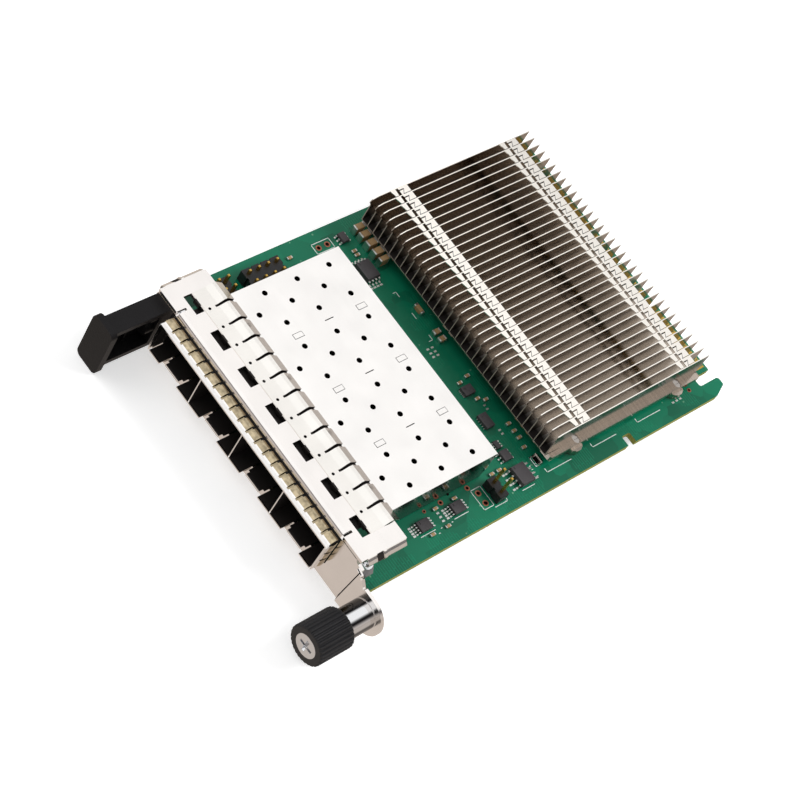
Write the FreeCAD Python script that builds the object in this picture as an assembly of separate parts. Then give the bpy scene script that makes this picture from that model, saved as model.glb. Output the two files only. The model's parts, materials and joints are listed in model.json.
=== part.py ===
import FreeCAD, Part
import math
import os

os.makedirs("parts", exist_ok=True)

V = FreeCAD.Vector

# Board
board_width = 76.0
board_length = 115.0
board_thick = 1.57
tongue_right = board_width / 2 - 6.3
tongue_left = 4.0 - board_width / 2
tongue_end = board_length - 0.5
notch_bottom = board_length - 6.1
notch_right = board_width / 2 - 3.8
corner_cut_x = board_width / 2 - 1.7
corner_cut_y = board_length - 3.8
side_notch_start = board_length - 33.7
side_notch_end = side_notch_start + 2.5
side_notch_floor = board_width / 2 - 2.5
key_slot_width = 1.5
contact_pitch = 0.6
contact_width = 0.45
contact_front = notch_bottom + 0.3
contact_rear = tongue_end - 0.95
pad_thick = 0.05
contact_bays = (14, 28, 14, 28)
tongue_margin = 1.0

# Cage with four ports
port_count = 4
port_pitch = 14.25
sheet = 0.25
roof_top = 9.7
roof_half = port_count * port_pitch / 2 - sheet
nose_half = roof_half + sheet
nose_front = -4.7
nose_top = roof_top - 0.2
cage_bottom = 0.4
cage_back = 43.4
vent_radius = 0.65
vent_side_offset = 3.95
vent_side_rows = (20.5, 29.45, 38.4)
vent_centre_rows = (16.05, 25.0, 33.95)
floor_back = 30.6
mouth_cut_half = 3.1
mouth_cut_depth = 2.1
tongue_half = 2.75
latch_root = 13.3
fold_tab_rows = (19.7, 37.4)
fold_tab_long = 2.35
fold_tab_wide = 1.1
fold_gap = 0.11
fold_slot_row = 28.6
wall_pin_rows = (4.0, 18.0, 34.0)
divider_pin_rows = (9.0, 36.0)
pin_wide = 0.6
pin_shoulder = 1.4
pin_tip = -2.1
pin_hole_radius = 0.45
nose_spring_pitch = 2.85
nose_spring_gap = 0.6
nose_spring_sheet = 0.1

# Host connectors behind the ports
host_half = 5.95
host_front = floor_back + 1.4
host_back = cage_back - 1.2
host_top = 5.7
mouth_half = 4.75
mouth_low = 2.9
mouth_high = 4.4
mouth_depth = 6.2
host_contacts = 10
host_contact_pitch = 0.8
host_contact_width = 0.35
peg_radius = 0.75
peg_clear = 0.05
peg_side = 4.5

# Faceplate
plate_sheet = 0.8
plate_front = -1.0
plate_left = -(roof_half + 6.75)
plate_right = roof_half + 6.95
plate_bottom = -3.6
opening_half = nose_half + 0.3
opening_low = 0.15
opening_high = nose_top + 0.3
plate_top = opening_high + 0.4
flange_top = roof_top + 1.5
flange_left = -(roof_half + 6.6)
flange_right = roof_half + 6.7
flange_back = 8.0
wing_back = 11.1
wing_inner = roof_half + 2.65
bend_half = opening_half - 0.6
bend_radius = 1.2
relief_width = 0.6
relief_back = 1.4
window_front = 2.5
window_back = 4.6
ear_front = -1.7
ear_x = roof_half + 13.5
ear_z = 2.05
ear_radius = 5.1
bend_line_x = roof_half + 7.35
bend_line_deep = 0.25
lip_low = 9.7
foot_thick = 0.8
foot_left = roof_half + 2.15
foot_right = roof_half + 7.2
foot_back = 8.8
foot_screw_x = roof_half + 4.75
foot_screw_y = 6.0
foot_screw_head = 1.7

# Finger strips
strip_sheet = 0.15
strip_left = -(roof_half + 2.95)
strip_right = roof_half + 2.45
finger_count = 13
finger_pitch = (strip_right - strip_left) / finger_count
finger_hole_y = 5.9
finger_hole = 0.38
finger_slit_front = 7.4
finger_slit = 0.5
finger_gap = 0.85
strip_front = 4.75
crest_y = 10.2
crest_rise = 0.55
tip_y = 13.2
tip_z = flange_top - 1.48
window_count = (finger_count + 1) // 2
window_first = strip_left
window_pitch = 2 * finger_pitch
window_width = finger_pitch - 0.01
hook_half = 0.9
side_strip_back = 10.9
side_clip_y = 5.2

# Pull tab
tab_left = -(roof_half + 6.85)
tab_right = -(roof_half + 2.25)
tab_low = -3.0
tab_high = 9.1
tab_front = -14.8
grip_front = tab_front - 1.5
grip_left = tab_left - 0.9
grip_right = tab_right + 1.0
grip_low = tab_low - 0.7
grip_high = tab_high + 1.2
tab_wall = 1.3
tab_screw_x = -(roof_half + 4.1)
tab_screw_rows = (3.2, 7.2)

# Captive thumbscrew
screw_x = ear_x + 0.1
screw_z = ear_z
knob_radius = 4.55
knob_rear = -8.07
knob_front = knob_rear - 9.0
knob_teeth = 28
knob_tooth = 0.4
knob_chamfer = 0.3
sleeve_radius = 3.35
sleeve_end = -8.3
sleeve_bore = 2.9
sleeve_floor = -2.9
slide_clear = 0.3
knob_bore_floor = -15.1
insert_radius = 2.8
insert_depth = 1.2
thread_radius = 1.5
shank_radius = 1.2
thread_clear = 0.3
thread_tip = 1.4
thread_start = -0.9
spring_wire = 0.22
spring_radius = 2.35
spring_turns = 7
spring_steps = 14
spring_sides = 6
washer_thick = 0.5

# Heat sink
fin_count = 34
fin_pitch = 2.005
fin_first = -34.6
fin_thick = 0.22
fin_top = 11.2
fin_front_top = 57.4
fin_front_low = 58.3
fin_knee = 8.7
fin_corner = 1.3
fin_rear = board_length - 8.5
base_left = fin_first + 0.2
base_right = fin_first + (fin_count - 1) * fin_pitch + 1.45
base_front = 59.3
base_rear = fin_rear + 1.1
base_top = 3.2
base_low = 1.7
zipper_fronts = (62.8, fin_rear - 9.8)
prong_long = 1.5
zipper_gap = 0.7
zipper_long = 2.8
tongue_reach = 1.2
tab_gap = 0.14
fix_right = base_right - 1.0
fix_left = base_left + 1.8
fix_rows = (68.0, board_length - 14.0)
boss_radius = 2.1
fix_thread = 0.9
fix_head = 1.9
fix_head_high = 1.3

# Main chip
chip_x = -1.0
chip_y = (base_front + base_rear) / 2
chip_size = 27.0
chip_top = 0.7
lid_size = 22.0
lid_top = 1.4

# Chips and capacitors on the board
driver_size = 3.9
driver_body = 4.9
driver_right = (29.95, 50.2)
driver_left = (-26.4, 50.7)
small_driver_left = roof_half + 2.2
small_driver_wide = 2.7
small_driver_long = 3.3
small_driver_rows = (31.9, 22.3)
capacitor_front = 56.2
capacitor_long = 2.95
capacitor_high = 2.3
end_cap = 0.45

# Headers
pin_pitch = 2.54
header_left = (-(roof_half + 5.35), -(roof_half + 2.81))
header_right = (roof_half + 3.11, roof_half + 5.65)
header_rows = ((25.3, 4, 3.0, 4.2), (15.9, 2, 3.6, 6.4))
header_right_row = (43.8, 1, 2.5, 8.0)
header_pin = 0.32
header_pin_tip = -2.4

# Underside film
film_thick = 0.25
film_side = 1.4
film_front = 2.0
film_back = notch_bottom - 1.9


def box(x0, x1, y0, y1, z0, z1):
    return Part.makeBox(x1 - x0, y1 - y0, z1 - z0, V(x0, y0, z0))


def rod(x, z, radius, y0, y1):
    return Part.makeCylinder(radius, y1 - y0, V(x, y0, z), V(0, 1, 0))


def facet_post(x, y, radius, z0, z1, sides=8):
    """Upright prism with few sides, for small holes, rings and hidden pins."""
    corners = []
    for i in range(sides):
        angle = 2 * math.pi * (i + 0.5) / sides
        corners.append((x + radius * math.cos(angle), y + radius * math.sin(angle)))
    return plate_z(corners, z0, z1)


def facet_rod(x, z, radius, y0, y1, sides=8):
    """The same prism, lying along Y."""
    corners = []
    for i in range(sides):
        angle = 2 * math.pi * (i + 0.5) / sides
        corners.append((x + radius * math.cos(angle), z + radius * math.sin(angle)))
    return plate_y(corners, y0, y1)


def in_xy(u, v):
    return V(u, v, 0)


def in_yz(u, v):
    return V(0, u, v)


def in_xz(u, v):
    return V(u, 0, v)


def outline(points, plane):
    """Closed wire through (u, v) or (u, v, corner radius) points."""
    starts = []
    ends = []
    edges = []
    for i, point in enumerate(points):
        corner = plane(point[0], point[1])
        if len(point) < 3:
            starts.append(corner)
            ends.append(corner)
            continue
        before = points[i - 1]
        after = points[(i + 1) % len(points)]
        back = (plane(before[0], before[1]) - corner).normalize()
        ahead = (plane(after[0], after[1]) - corner).normalize()
        half = back.getAngle(ahead) / 2
        reach = point[2] / math.tan(half)
        middle = (back + ahead).normalize()
        gap = point[2] / math.sin(half) - point[2]
        start = corner + back * reach
        end = corner + ahead * reach
        edges.append(Part.Arc(start, corner + middle * gap, end).toShape())
        starts.append(start)
        ends.append(end)
    for i in range(len(points)):
        after = starts[(i + 1) % len(points)]
        if ends[i].distanceToPoint(after) > 1e-6:
            edges.append(Part.makeLine(ends[i], after))
    return Part.Wire(Part.sortEdges(edges)[0])


def plate(points, plane, direction, low, high):
    """Solid with the given outline between two levels along one direction."""
    face = Part.Face(outline(points, plane))
    face.translate(direction * low)
    return face.extrude(direction * (high - low))


def plate_z(points, low, high):
    return plate(points, in_xy, V(0, 0, 1), low, high)


def plate_x(points, low, high):
    return plate(points, in_yz, V(1, 0, 0), low, high)


def plate_y(points, low, high):
    return plate(points, in_xz, V(0, 1, 0), low, high)


def ribbon(points, thick):
    """Outline of a bent strip whose inner line runs through the points."""
    outer = []
    for i, point in enumerate(points):
        before = points[max(i - 1, 0)]
        after = points[min(i + 1, len(points) - 1)]
        sides = []
        for first, second in ((before, point), (point, after)):
            length = math.hypot(second[0] - first[0], second[1] - first[1])
            if length > 0:
                sides.append(((first[1] - second[1]) / length, (second[0] - first[0]) / length))
        nx = sum(side[0] for side in sides)
        ny = sum(side[1] for side in sides)
        scale = thick * len(sides) / (nx * nx + ny * ny)
        outer.append((point[0] + nx * scale, point[1] + ny * scale))
    return list(points) + outer[::-1]


def fuse(shapes):
    return shapes[0].multiFuse(shapes[1:]).removeSplitter()


def cut(shape, tools):
    return shape.cut(Part.makeCompound(tools)).removeSplitter()


def save(name, shapes):
    if not isinstance(shapes, list):
        shapes = [shapes]
    solids = []
    for shape in shapes:
        solids.extend(shape.Solids)
    result = solids[0] if len(solids) == 1 else Part.makeCompound(solids)
    result.exportStep("parts/" + name + ".step")


def mirrored(shape):
    return shape.mirror(V(0, 0, 0), V(1, 0, 0))


def port_centres():
    return [(i - (port_count - 1) / 2) * port_pitch for i in range(port_count)]


def divider_centres():
    return [(i - (port_count - 2) / 2) * port_pitch for i in range(port_count - 1)]


def contact_centres():
    """Middle of each contact pad, and the middle of each key slot between the bays."""
    pads = []
    keys = []
    used = sum(contact_bays) * contact_pitch
    free = tongue_right - tongue_left - 2 * tongue_margin - used
    gap = free / (len(contact_bays) - 1)
    x = tongue_left + tongue_margin
    for index, count in enumerate(contact_bays):
        for i in range(count):
            pads.append(x + (i + 0.5) * contact_pitch)
        x += count * contact_pitch
        if index < len(contact_bays) - 1:
            keys.append(x + gap / 2)
        x += gap
    return pads, keys


def fix_places():
    return [(x, y) for x in (fix_left, fix_right) for y in fix_rows]


def cage_pin_places():
    places = []
    for side in (-1, 1):
        places.extend((side * (roof_half - sheet / 2), y) for y in wall_pin_rows)
    for x in divider_centres():
        places.extend((x, y) for y in divider_pin_rows)
    return places


def plated_hole_places():
    """Holes with a bare copper ring: x, y, ring radius, hole radius."""
    return [
        (roof_half + 2.95, 40.5, 0.75, 0.45),
        (roof_half + 5.55, 40.5, 0.75, 0.45),
        (-33.7, 46.5, 0.75, 0.45),
        (-33.7, 49.0, 0.75, 0.45),
        (roof_half + 0.85, 39.0, 0.65, 0.35),
        (roof_half + 0.85, 31.2, 0.65, 0.35),
        (roof_half + 0.85, 26.5, 0.45, 0.25),
        (33.7, board_length - 9.5, 0.55, 0.3),
    ]


def headers():
    """Pin columns of each header, with its first row, row count, body height and pin tip."""
    return [(header_left, line) for line in header_rows] + [(header_right, header_right_row)]


def header_pin_places():
    """Middle of each header pin and the level of its tip."""
    places = []
    for columns, (first, count, _, tip) in headers():
        for x in columns:
            places.extend((x, first + pin_pitch * i, tip) for i in range(count))
    return places


def pcb():
    half = board_width / 2
    points = [
        (-half, 0, 0.6),
        (half, 0, 0.6),
        (half, side_notch_start),
        (side_notch_floor, side_notch_start, 0.5),
        (side_notch_floor, side_notch_end, 0.5),
        (half, side_notch_end),
        (half, corner_cut_y, 0.8),
        (corner_cut_x, board_length, 0.6),
        (notch_right, board_length, 0.8),
        (notch_right, notch_bottom, 0.6),
        (tongue_right, notch_bottom, 0.6),
        (tongue_right, tongue_end, 0.4),
        (tongue_left, tongue_end, 0.4),
        (tongue_left, notch_bottom, 0.6),
        (1.7 - half, notch_bottom, 0.6),
        (-half, notch_bottom - 1.7, 0.6),
    ]
    board = plate_z(points, -board_thick, 0)
    tools = []
    for x in contact_centres()[1]:
        tools.append(box(x - key_slot_width / 2, x + key_slot_width / 2,
                         notch_bottom + 0.6, board_length, -board_thick, 0))
    for x, y in cage_pin_places():
        tools.append(facet_post(x, y, pin_hole_radius, -board_thick, 0, 6))
    for x, y in fix_places():
        tools.append(facet_post(x, y, fix_thread + 0.2, -board_thick, 0))
    for side in (-1, 1):
        tools.append(facet_post(side * foot_screw_x, foot_screw_y, 1.3, -board_thick, 0))
    for x, y, _, radius in plated_hole_places():
        tools.append(facet_post(x, y, radius, -board_thick, 0, 12))
    for x, y, _ in header_pin_places():
        tools.append(facet_post(x, y, 0.5, -board_thick, 0, 6))
    for x in port_centres():
        for side in (-1, 1):
            tools.append(facet_post(x + side * peg_side, host_back - 2.2,
                                    peg_radius + peg_clear, -board_thick, 0))
    for x, z0, z1 in (edge_bevel(-1), edge_bevel(1)):
        tools.append(plate_x(x, z0, z1))
    return cut(board, tools)


def edge_bevel(side):
    """Wedge that takes the sharp edge off the plug end of the board."""
    z = 0 if side > 0 else -board_thick
    points = [
        (tongue_end - 0.9, z),
        (tongue_end, z - side * 0.35),
        (tongue_end + 0.1, z - side * 0.35),
        (tongue_end + 0.1, z),
    ]
    return points, tongue_left - 1, tongue_right + 1


def edge_contacts():
    pads = []
    for x in contact_centres()[0]:
        for z in (0, -board_thick - pad_thick):
            pads.append(box(x - contact_width / 2, x + contact_width / 2,
                            contact_front, contact_rear, z, z + pad_thick))
    return pads


def plated_rings():
    rings = []
    for x, y, ring, hole in plated_hole_places():
        rings.append(facet_post(x, y, ring, 0, pad_thick, 12).cut(
            facet_post(x, y, hole, 0, pad_thick, 12)))
    return rings


def cage_body():
    """Roof, two side walls, rear wall and nose, folded from one sheet."""
    inner = roof_half - sheet
    roof = box(-roof_half, roof_half, -1.2, cage_back, roof_top - sheet, roof_top)
    roof = roof.fuse(box(-nose_half, nose_half, nose_front, -0.9,
                         nose_top - sheet, nose_top))
    pieces = [roof]
    pieces.append(box(-roof_half, roof_half, -1.2, -0.9, nose_top - sheet, roof_top))
    pieces.append(box(-inner, inner, cage_back - sheet, cage_back, 0.6, roof_top))
    for side in (-1, 1):
        outer = sorted((side * inner, side * roof_half))
        nose = sorted((side * (nose_half - sheet), side * nose_half))
        pieces.append(box(outer[0], outer[1], -1.2, cage_back, cage_bottom, roof_top))
        pieces.append(box(nose[0], nose[1], nose_front, -0.9, cage_bottom, nose_top))
        for y in wall_pin_rows:
            pieces.append(box(outer[0], outer[1], y - pin_shoulder / 2,
                              y + pin_shoulder / 2, 0, cage_bottom + 0.1))
            pieces.append(box(outer[0], outer[1], y - pin_wide / 2, y + pin_wide / 2,
                              pin_tip, 0.1))
    body = fuse(pieces)
    tools = []
    for x in port_centres():
        for y in vent_side_rows:
            for side in (-1, 1):
                tools.append(facet_post(x + side * vent_side_offset, y, vent_radius,
                                        roof_top - 1, roof_top + 1, 14))
        for y in vent_centre_rows:
            tools.append(facet_post(x, y, vent_radius, roof_top - 1, roof_top + 1, 14))
    for x in divider_centres():
        left = x - sheet / 2 - fold_gap
        right = x - sheet / 2 + fold_tab_wide + fold_gap
        for y in fold_tab_rows:
            tools.append(box(left, right, y - fold_gap, y + fold_tab_long + fold_gap,
                             roof_top - 1, roof_top + 1))
        tools.append(box(x - fold_gap, x + fold_gap, fold_slot_row,
                         fold_slot_row + fold_tab_long, roof_top - sheet / 2, roof_top + 1))
    return cut(body, tools)


def cage_floor():
    """Bottom sheet with a mouth cut-out and a sprung latch tongue for each port."""
    inner = roof_half - sheet
    floor = box(-inner, inner, nose_front, floor_back, cage_bottom, cage_bottom + sheet)
    tools = []
    tongues = []
    for x in port_centres():
        tools.append(box(x - mouth_cut_half, x + mouth_cut_half, nose_front - 1,
                         nose_front + mouth_cut_depth, 0, 1))
        for side in (-1, 1):
            edge = sorted((x + side * tongue_half, x + side * mouth_cut_half))
            tools.append(box(edge[0], edge[1], nose_front, latch_root, 0, 1))
        tools.append(plate_z([(x - 1.3, 6.6), (x + 1.3, 6.6), (x + 0.25, 4.5),
                              (x - 0.25, 4.5)], 0, 1))
        lip = ribbon([(nose_front + 1.2, cage_bottom - 0.3),
                      (nose_front + 1.35, cage_bottom - 0.08),
                      (nose_front + 1.65, cage_bottom),
                      (nose_front + mouth_cut_depth + 0.5, cage_bottom)], sheet)
        tongues.append(plate_x(lip, x - tongue_half + 0.5, x + tongue_half - 0.5))
    for x in divider_centres():
        y = divider_pin_rows[0]
        tools.append(box(x - sheet / 2, x + sheet / 2, y - pin_shoulder / 2,
                         y + pin_shoulder / 2, 0, 1))
    return fuse([cut(floor, tools)] + tongues)


def cage_dividers():
    """Three upright sheets between the ports, their tabs folded flat in roof slots."""
    low = cage_bottom + sheet
    back = cage_back - sheet
    walls = []
    for x in divider_centres():
        left = x - sheet / 2
        right = x + sheet / 2
        pieces = [box(left, right, nose_front + 0.2, -1.2, low, nose_top - sheet)]
        pieces.append(box(left, right, -1.2, back, low, nose_top - sheet))
        pieces.append(box(left, right, -0.9, back, low, roof_top - sheet))
        pieces.append(box(left, right, floor_back, back, 0.3, low))
        for y in divider_pin_rows:
            pieces.append(box(left, right, y - pin_shoulder / 2, y + pin_shoulder / 2, 0, low))
            pieces.append(box(left, right, y - pin_wide / 2, y + pin_wide / 2, pin_tip, 0.1))
        for y in fold_tab_rows:
            pieces.append(box(left, left + fold_tab_wide, y, y + fold_tab_long,
                              roof_top - sheet, roof_top + 0.03))
        walls.append(fuse(pieces))
    return walls


def nose_springs_long():
    """Comb of small springs along the top of the nose and its mirror below."""
    count = int(2 * nose_half / nose_spring_pitch)
    start = -count * nose_spring_pitch / 2
    strips = []
    for side in (1, -1):
        level = nose_top if side > 0 else cage_bottom
        line = [(nose_front, level), (-3.8, level), (-2.7, level + side * 0.42),
                (-2.0, level + side * 0.4), (-1.35, level + side * 0.1)]
        if side < 0:
            line = line[::-1]
        half = nose_half - 0.1 if side > 0 else roof_half - sheet
        strip = plate_x(ribbon(line, nose_spring_sheet), -half, half)
        tools = []
        for i in range(1, count):
            x = start + i * nose_spring_pitch
            tools.append(box(x - nose_spring_gap / 2, x + nose_spring_gap / 2, -3.8, 0,
                             level - 1, level + 1))
        if side < 0:
            for x in port_centres():
                tools.append(box(x - mouth_cut_half, x + mouth_cut_half, nose_front - 1,
                                 0, level - 2, level + 1))
        strips.append(cut(strip, tools))
    return strips


def nose_springs_side():
    """Comb of three small springs on each side of the nose."""
    line = [(nose_half, nose_front), (nose_half, -3.8),
            (nose_half + 0.28, -2.7), (nose_half + 0.26, -2.0), (nose_half + 0.06, -1.35)]
    low = cage_bottom + 0.6
    high = nose_top - 0.5
    strip = plate_z(ribbon(line[::-1], nose_spring_sheet), low, high)
    tools = []
    for i in range(1, 3):
        z = low + i * (high - low) / 3
        tools.append(box(nose_half - 1, nose_half + 1, -3.8, 0,
                         z - nose_spring_gap / 2, z + nose_spring_gap / 2))
    strip = cut(strip, tools)
    return [strip, mirrored(strip)]


def host_connectors():
    blocks = []
    for x in port_centres():
        body = plate_x([(host_front, 0.15), (host_back, 0.15), (host_back, host_top),
                        (host_front + 1.2, host_top), (host_front, host_top - 0.8)],
                       x - host_half, x + host_half)
        tools = [box(x - mouth_half, x + mouth_half, host_front - 1,
                     host_front + mouth_depth, mouth_low, mouth_high)]
        for side in (-1, 1):
            edge = sorted((x + side * (host_half + 1), x + side * (host_half - 0.9)))
            tools.append(box(edge[0], edge[1], host_front - 1, host_front + 3.6,
                             mouth_high + 0.2, host_top + 1))
        body = cut(body, tools)
        pieces = [body]
        for side in (-1, 1):
            pieces.append(facet_post(x + side * peg_side, host_back - 2.2, peg_radius,
                                     -1.2, 0.3))
            rail = x + side * (host_half - 0.85)
            pieces.append(box(rail - 0.6, rail + 0.6, host_front + 0.6, host_back - 0.6,
                              0, 0.2))
        blocks.append(fuse(pieces))
    return blocks


def host_contacts_all():
    """Contact blades in each mouth and the rows of leads behind the housings."""
    contacts = []
    half = host_contact_width / 2
    for centre in port_centres():
        for i in range(host_contacts):
            x = centre + (i - (host_contacts - 1) / 2) * host_contact_pitch
            for low in (mouth_low, mouth_high - 0.25):
                contacts.append(box(x - half, x + half, host_front + 0.8,
                                    host_front + mouth_depth, low, low + 0.25))
            lead = [(host_back, 1.1), (host_back + 0.3, 1.1), (host_back + 0.3, 0.2),
                    (host_back + 0.85, 0.2), (host_back + 0.85, 0), (host_back + 0.1, 0),
                    (host_back + 0.1, 0.9), (host_back, 0.9)]
            contacts.append(plate_x(lead, x - half, x + half))
    return contacts


def faceplate():
    """One folded plate: face with the cage opening, top flange, wings, feet and ear."""
    back = plate_front + plate_sheet
    face = plate_y([
        (plate_left, plate_bottom, 0.6),
        (plate_right + 0.8, plate_bottom),
        (plate_right + 0.8, plate_top - 1.1),
        (plate_right - 1.2, plate_top - 0.5),
        (plate_right - 1.6, plate_top),
        (plate_left, plate_top, 0.6),
    ], plate_front, back)
    ear = plate_y([
        (plate_right, plate_bottom, 0.3),
        (ear_x - 1.4, plate_bottom + 0.35, 2.0),
        (ear_x, ear_z - ear_radius + 2.6),
        (ear_x, ear_z),
        (ear_x - 2.55, 7.15),
        (ear_x - 2.95, 6.7),
        (ear_x - 3.35, 7.25),
        (ear_x - 4.35, 8.35),
        (ear_x - 4.55, 7.9),
        (ear_x - 4.95, 8.75),
        (plate_right, 9.3),
    ], ear_front, ear_front + plate_sheet)
    disc = rod(ear_x, ear_z, ear_radius, ear_front, ear_front + plate_sheet)
    lobe = plate_y([(ear_x - 2.6, 7.15), (ear_x, 7.15), (ear_x, ear_z), (ear_x - 2.6, 3.0)],
                   ear_front, ear_front + plate_sheet)
    low = flange_top - plate_sheet
    bend = plate_x([
        (plate_front, opening_high - 0.5),
        (plate_front, flange_top, bend_radius),
        (flange_back, flange_top),
        (flange_back, low),
        (back, low, bend_radius - plate_sheet),
        (back, opening_high - 0.5),
    ], -bend_half, bend_half)
    pieces = [face, ear, disc, lobe, bend]
    pieces.append(box(flange_left, flange_right, relief_back, flange_back, low, flange_top))
    for left, right in ((flange_left, -wing_inner - 0.3), (wing_inner - 0.2, flange_right)):
        pieces.append(box(left, right, plate_front, wing_back, low, flange_top))
        outer = left if left < 0 else right
        step = plate_sheet if left < 0 else -plate_sheet
        side = sorted((outer, outer + step))
        pieces.append(box(side[0], side[1], 0.6, wing_back, lip_low, flange_top))
        inner = sorted((bend_half + relief_width, abs(right if left < 0 else left)))
        span = (-inner[1], -inner[0]) if left < 0 else (inner[0], inner[1])
        pieces.append(box(span[0], span[1], plate_front, flange_back, low, flange_top))
    for side in (-1, 1):
        foot = plate_z([(foot_left, back - 0.1), (foot_right, back - 0.1),
                        (foot_right, foot_back - 2.2), (foot_right - 2.2, foot_back),
                        (foot_left, foot_back)], 0, foot_thick)
        pieces.append(foot if side > 0 else mirrored(foot))
    body = fuse(pieces)
    tools = [plate_y([(-opening_half, opening_low, 0.5), (opening_half, opening_low, 0.5),
                      (opening_half, opening_high, 0.5), (-opening_half, opening_high, 0.5)],
                     plate_front - 1, back + 0.05)]
    for i in range(window_count):
        x = window_first + i * window_pitch
        tools.append(box(x, x + window_width, window_front, window_back, low - 1,
                         flange_top + 1))
    for side in (-1, 1):
        tools.append(facet_post(side * foot_screw_x, foot_screw_y, 1.3, -0.5,
                                foot_thick + 0.5))
    tools.append(plate_y([(bend_line_x + 0.5, 10), (bend_line_x + 0.75, 10),
                          (bend_line_x - 0.35, plate_bottom - 1),
                          (bend_line_x - 0.6, plate_bottom - 1)],
                         ear_front - 1, ear_front + bend_line_deep))
    for z in tab_screw_rows:
        tools.append(facet_rod(tab_screw_x, z, 1.1, plate_front - 0.5, back + 0.5))
    tools.append(rod(screw_x, screw_z, sleeve_bore - 0.3, ear_front - 1, ear_front + 2))
    for i in range(1, finger_count):
        tools.append(facet_post(strip_left + i * finger_pitch, finger_hole_y, finger_hole,
                                low - 1, flange_top + 1, 6))
    return cut(body, tools)


def foot_screws():
    screws = []
    for side in (-1, 1):
        x = side * foot_screw_x
        head = facet_post(x, foot_screw_y, foot_screw_head, foot_thick, foot_thick + 1.1, 16)
        head = head.fuse(facet_post(x, foot_screw_y, 1.15, -board_thick - 0.6, foot_thick))
        screws.append(cut(head, cross(x, foot_screw_y, foot_thick + 1.1, 2.2, 0.5, 0.6)))
    return screws


def cross(x, y, top, long, wide, deep):
    """Two crossed bars that cut a recess down from a level."""
    bars = []
    for half_x, half_y in ((long / 2, wide / 2), (wide / 2, long / 2)):
        bars.append(box(x - half_x, x + half_x, y - half_y, y + half_y, top - deep, top + 1))
    return bars


def top_finger_strip():
    """Row of sprung fingers clipped on the top flange through its windows."""
    root = flange_top
    line = [(strip_front, root), (8.2, root), (crest_y - 0.4, root + crest_rise),
            (crest_y + 0.4, root + crest_rise - 0.02), (tip_y, tip_z)]
    strip = plate_x(ribbon(line, strip_sheet), strip_left, strip_right)
    pieces = [strip]
    for i in range(window_count):
        x = window_first + i * window_pitch + window_width / 2
        hook = ribbon([(strip_front + 0.5, root), (window_back - strip_sheet, root),
                       (window_back - strip_sheet, root - plate_sheet - 0.02),
                       (window_back + 1.2, root - plate_sheet - 0.02)][::-1], strip_sheet)
        pieces.append(plate_x(hook, x - hook_half, x + hook_half))
    strip = fuse(pieces)
    tools = []
    low = tip_z - 1
    high = flange_top + 2
    for i in range(1, finger_count):
        x = strip_left + i * finger_pitch
        tools.append(plate_z([(x - finger_slit / 2, finger_slit_front),
                              (x + finger_slit / 2, finger_slit_front),
                              (x + finger_gap / 2, tip_y + 1),
                              (x - finger_gap / 2, tip_y + 1)], low, high))
        tools.append(facet_post(x, finger_hole_y, finger_hole, low, high, 6))
    return cut(strip, tools)


def side_finger_strip(edge):
    """Rolled spring strip clipped on the folded edge of a wing, with a clip half way."""
    line = [(edge, flange_top - 0.1), (edge, flange_top - 0.5), (edge + 0.5, flange_top - 0.8),
            (edge + 0.95, flange_top - 1.3), (edge + 0.9, flange_top - 1.9),
            (edge + 0.4, flange_top - 2.3)]
    strip = plate_y(ribbon(line, strip_sheet), 0.6, side_strip_back)
    clip = plate_y(ribbon(line, strip_sheet * 2), side_clip_y - 0.35, side_clip_y + 0.35)
    return fuse([strip, clip])


def pull_tab():
    """Plastic handle: channel-shaped stem with a grip plate in front."""
    stem = box(tab_left, tab_right, tab_front, plate_front, tab_low, tab_high)
    hollow = box(tab_left + tab_wall, tab_right + 1, tab_front, plate_front - 1.6,
                 tab_low + tab_wall, tab_high - tab_wall)
    grip = plate_y([(grip_left, grip_low, 1.4), (grip_right, grip_low, 1.4),
                    (grip_right, grip_high, 1.4), (grip_left, grip_high, 1.4)],
                   grip_front, tab_front)
    rib = box(tab_left + tab_wall - 0.1, tab_left + tab_wall + 0.6, -7.4, -6.8,
              tab_low + 0.2, tab_high - 0.2)
    pieces = [stem.cut(hollow), grip, rib]
    for z in tab_screw_rows:
        pieces.append(facet_rod(tab_screw_x, z, 1.75, -4.8, plate_front - 1, 16))
    body = fuse(pieces)
    tools = [facet_rod(tab_screw_x, z, 0.9, -4.4, plate_front + 1) for z in tab_screw_rows]
    return cut(body, tools)


def tab_screws():
    back = plate_front + plate_sheet
    screws = []
    for z in tab_screw_rows:
        screw = facet_rod(tab_screw_x, z, 1.6, back, back + 0.9, 12)
        screw = screw.fuse(facet_rod(tab_screw_x, z, 0.9, -4.2, back))
        slots = [box(tab_screw_x - 1.0, tab_screw_x + 1.0, back + 0.4, back + 1,
                     z - 0.2, z + 0.2),
                 box(tab_screw_x - 0.2, tab_screw_x + 0.2, back + 0.4, back + 1,
                     z - 1.0, z + 1.0)]
        screws.append(cut(screw, slots))
    return screws


def turned(points):
    """Solid of revolution about the thumbscrew axis from (y, radius) points."""
    wire = outline([(y, screw_z + radius) for y, radius in points], in_yz)
    face = Part.Face(wire)
    face.translate(V(screw_x, 0, 0))
    return face.revolve(V(screw_x, 0, screw_z), V(0, 1, 0), 360)


def thumbscrew_sleeve():
    back = ear_front + plate_sheet
    rim = sleeve_bore - 0.3
    bore = thread_radius + thread_clear
    return turned([
        (back, bore), (back, rim), (ear_front, rim), (ear_front, sleeve_radius),
        (sleeve_end + 0.2, sleeve_radius), (sleeve_end, sleeve_radius - 0.2),
        (sleeve_end, sleeve_bore),
        (sleeve_floor, sleeve_bore), (sleeve_floor, bore),
    ])


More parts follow.
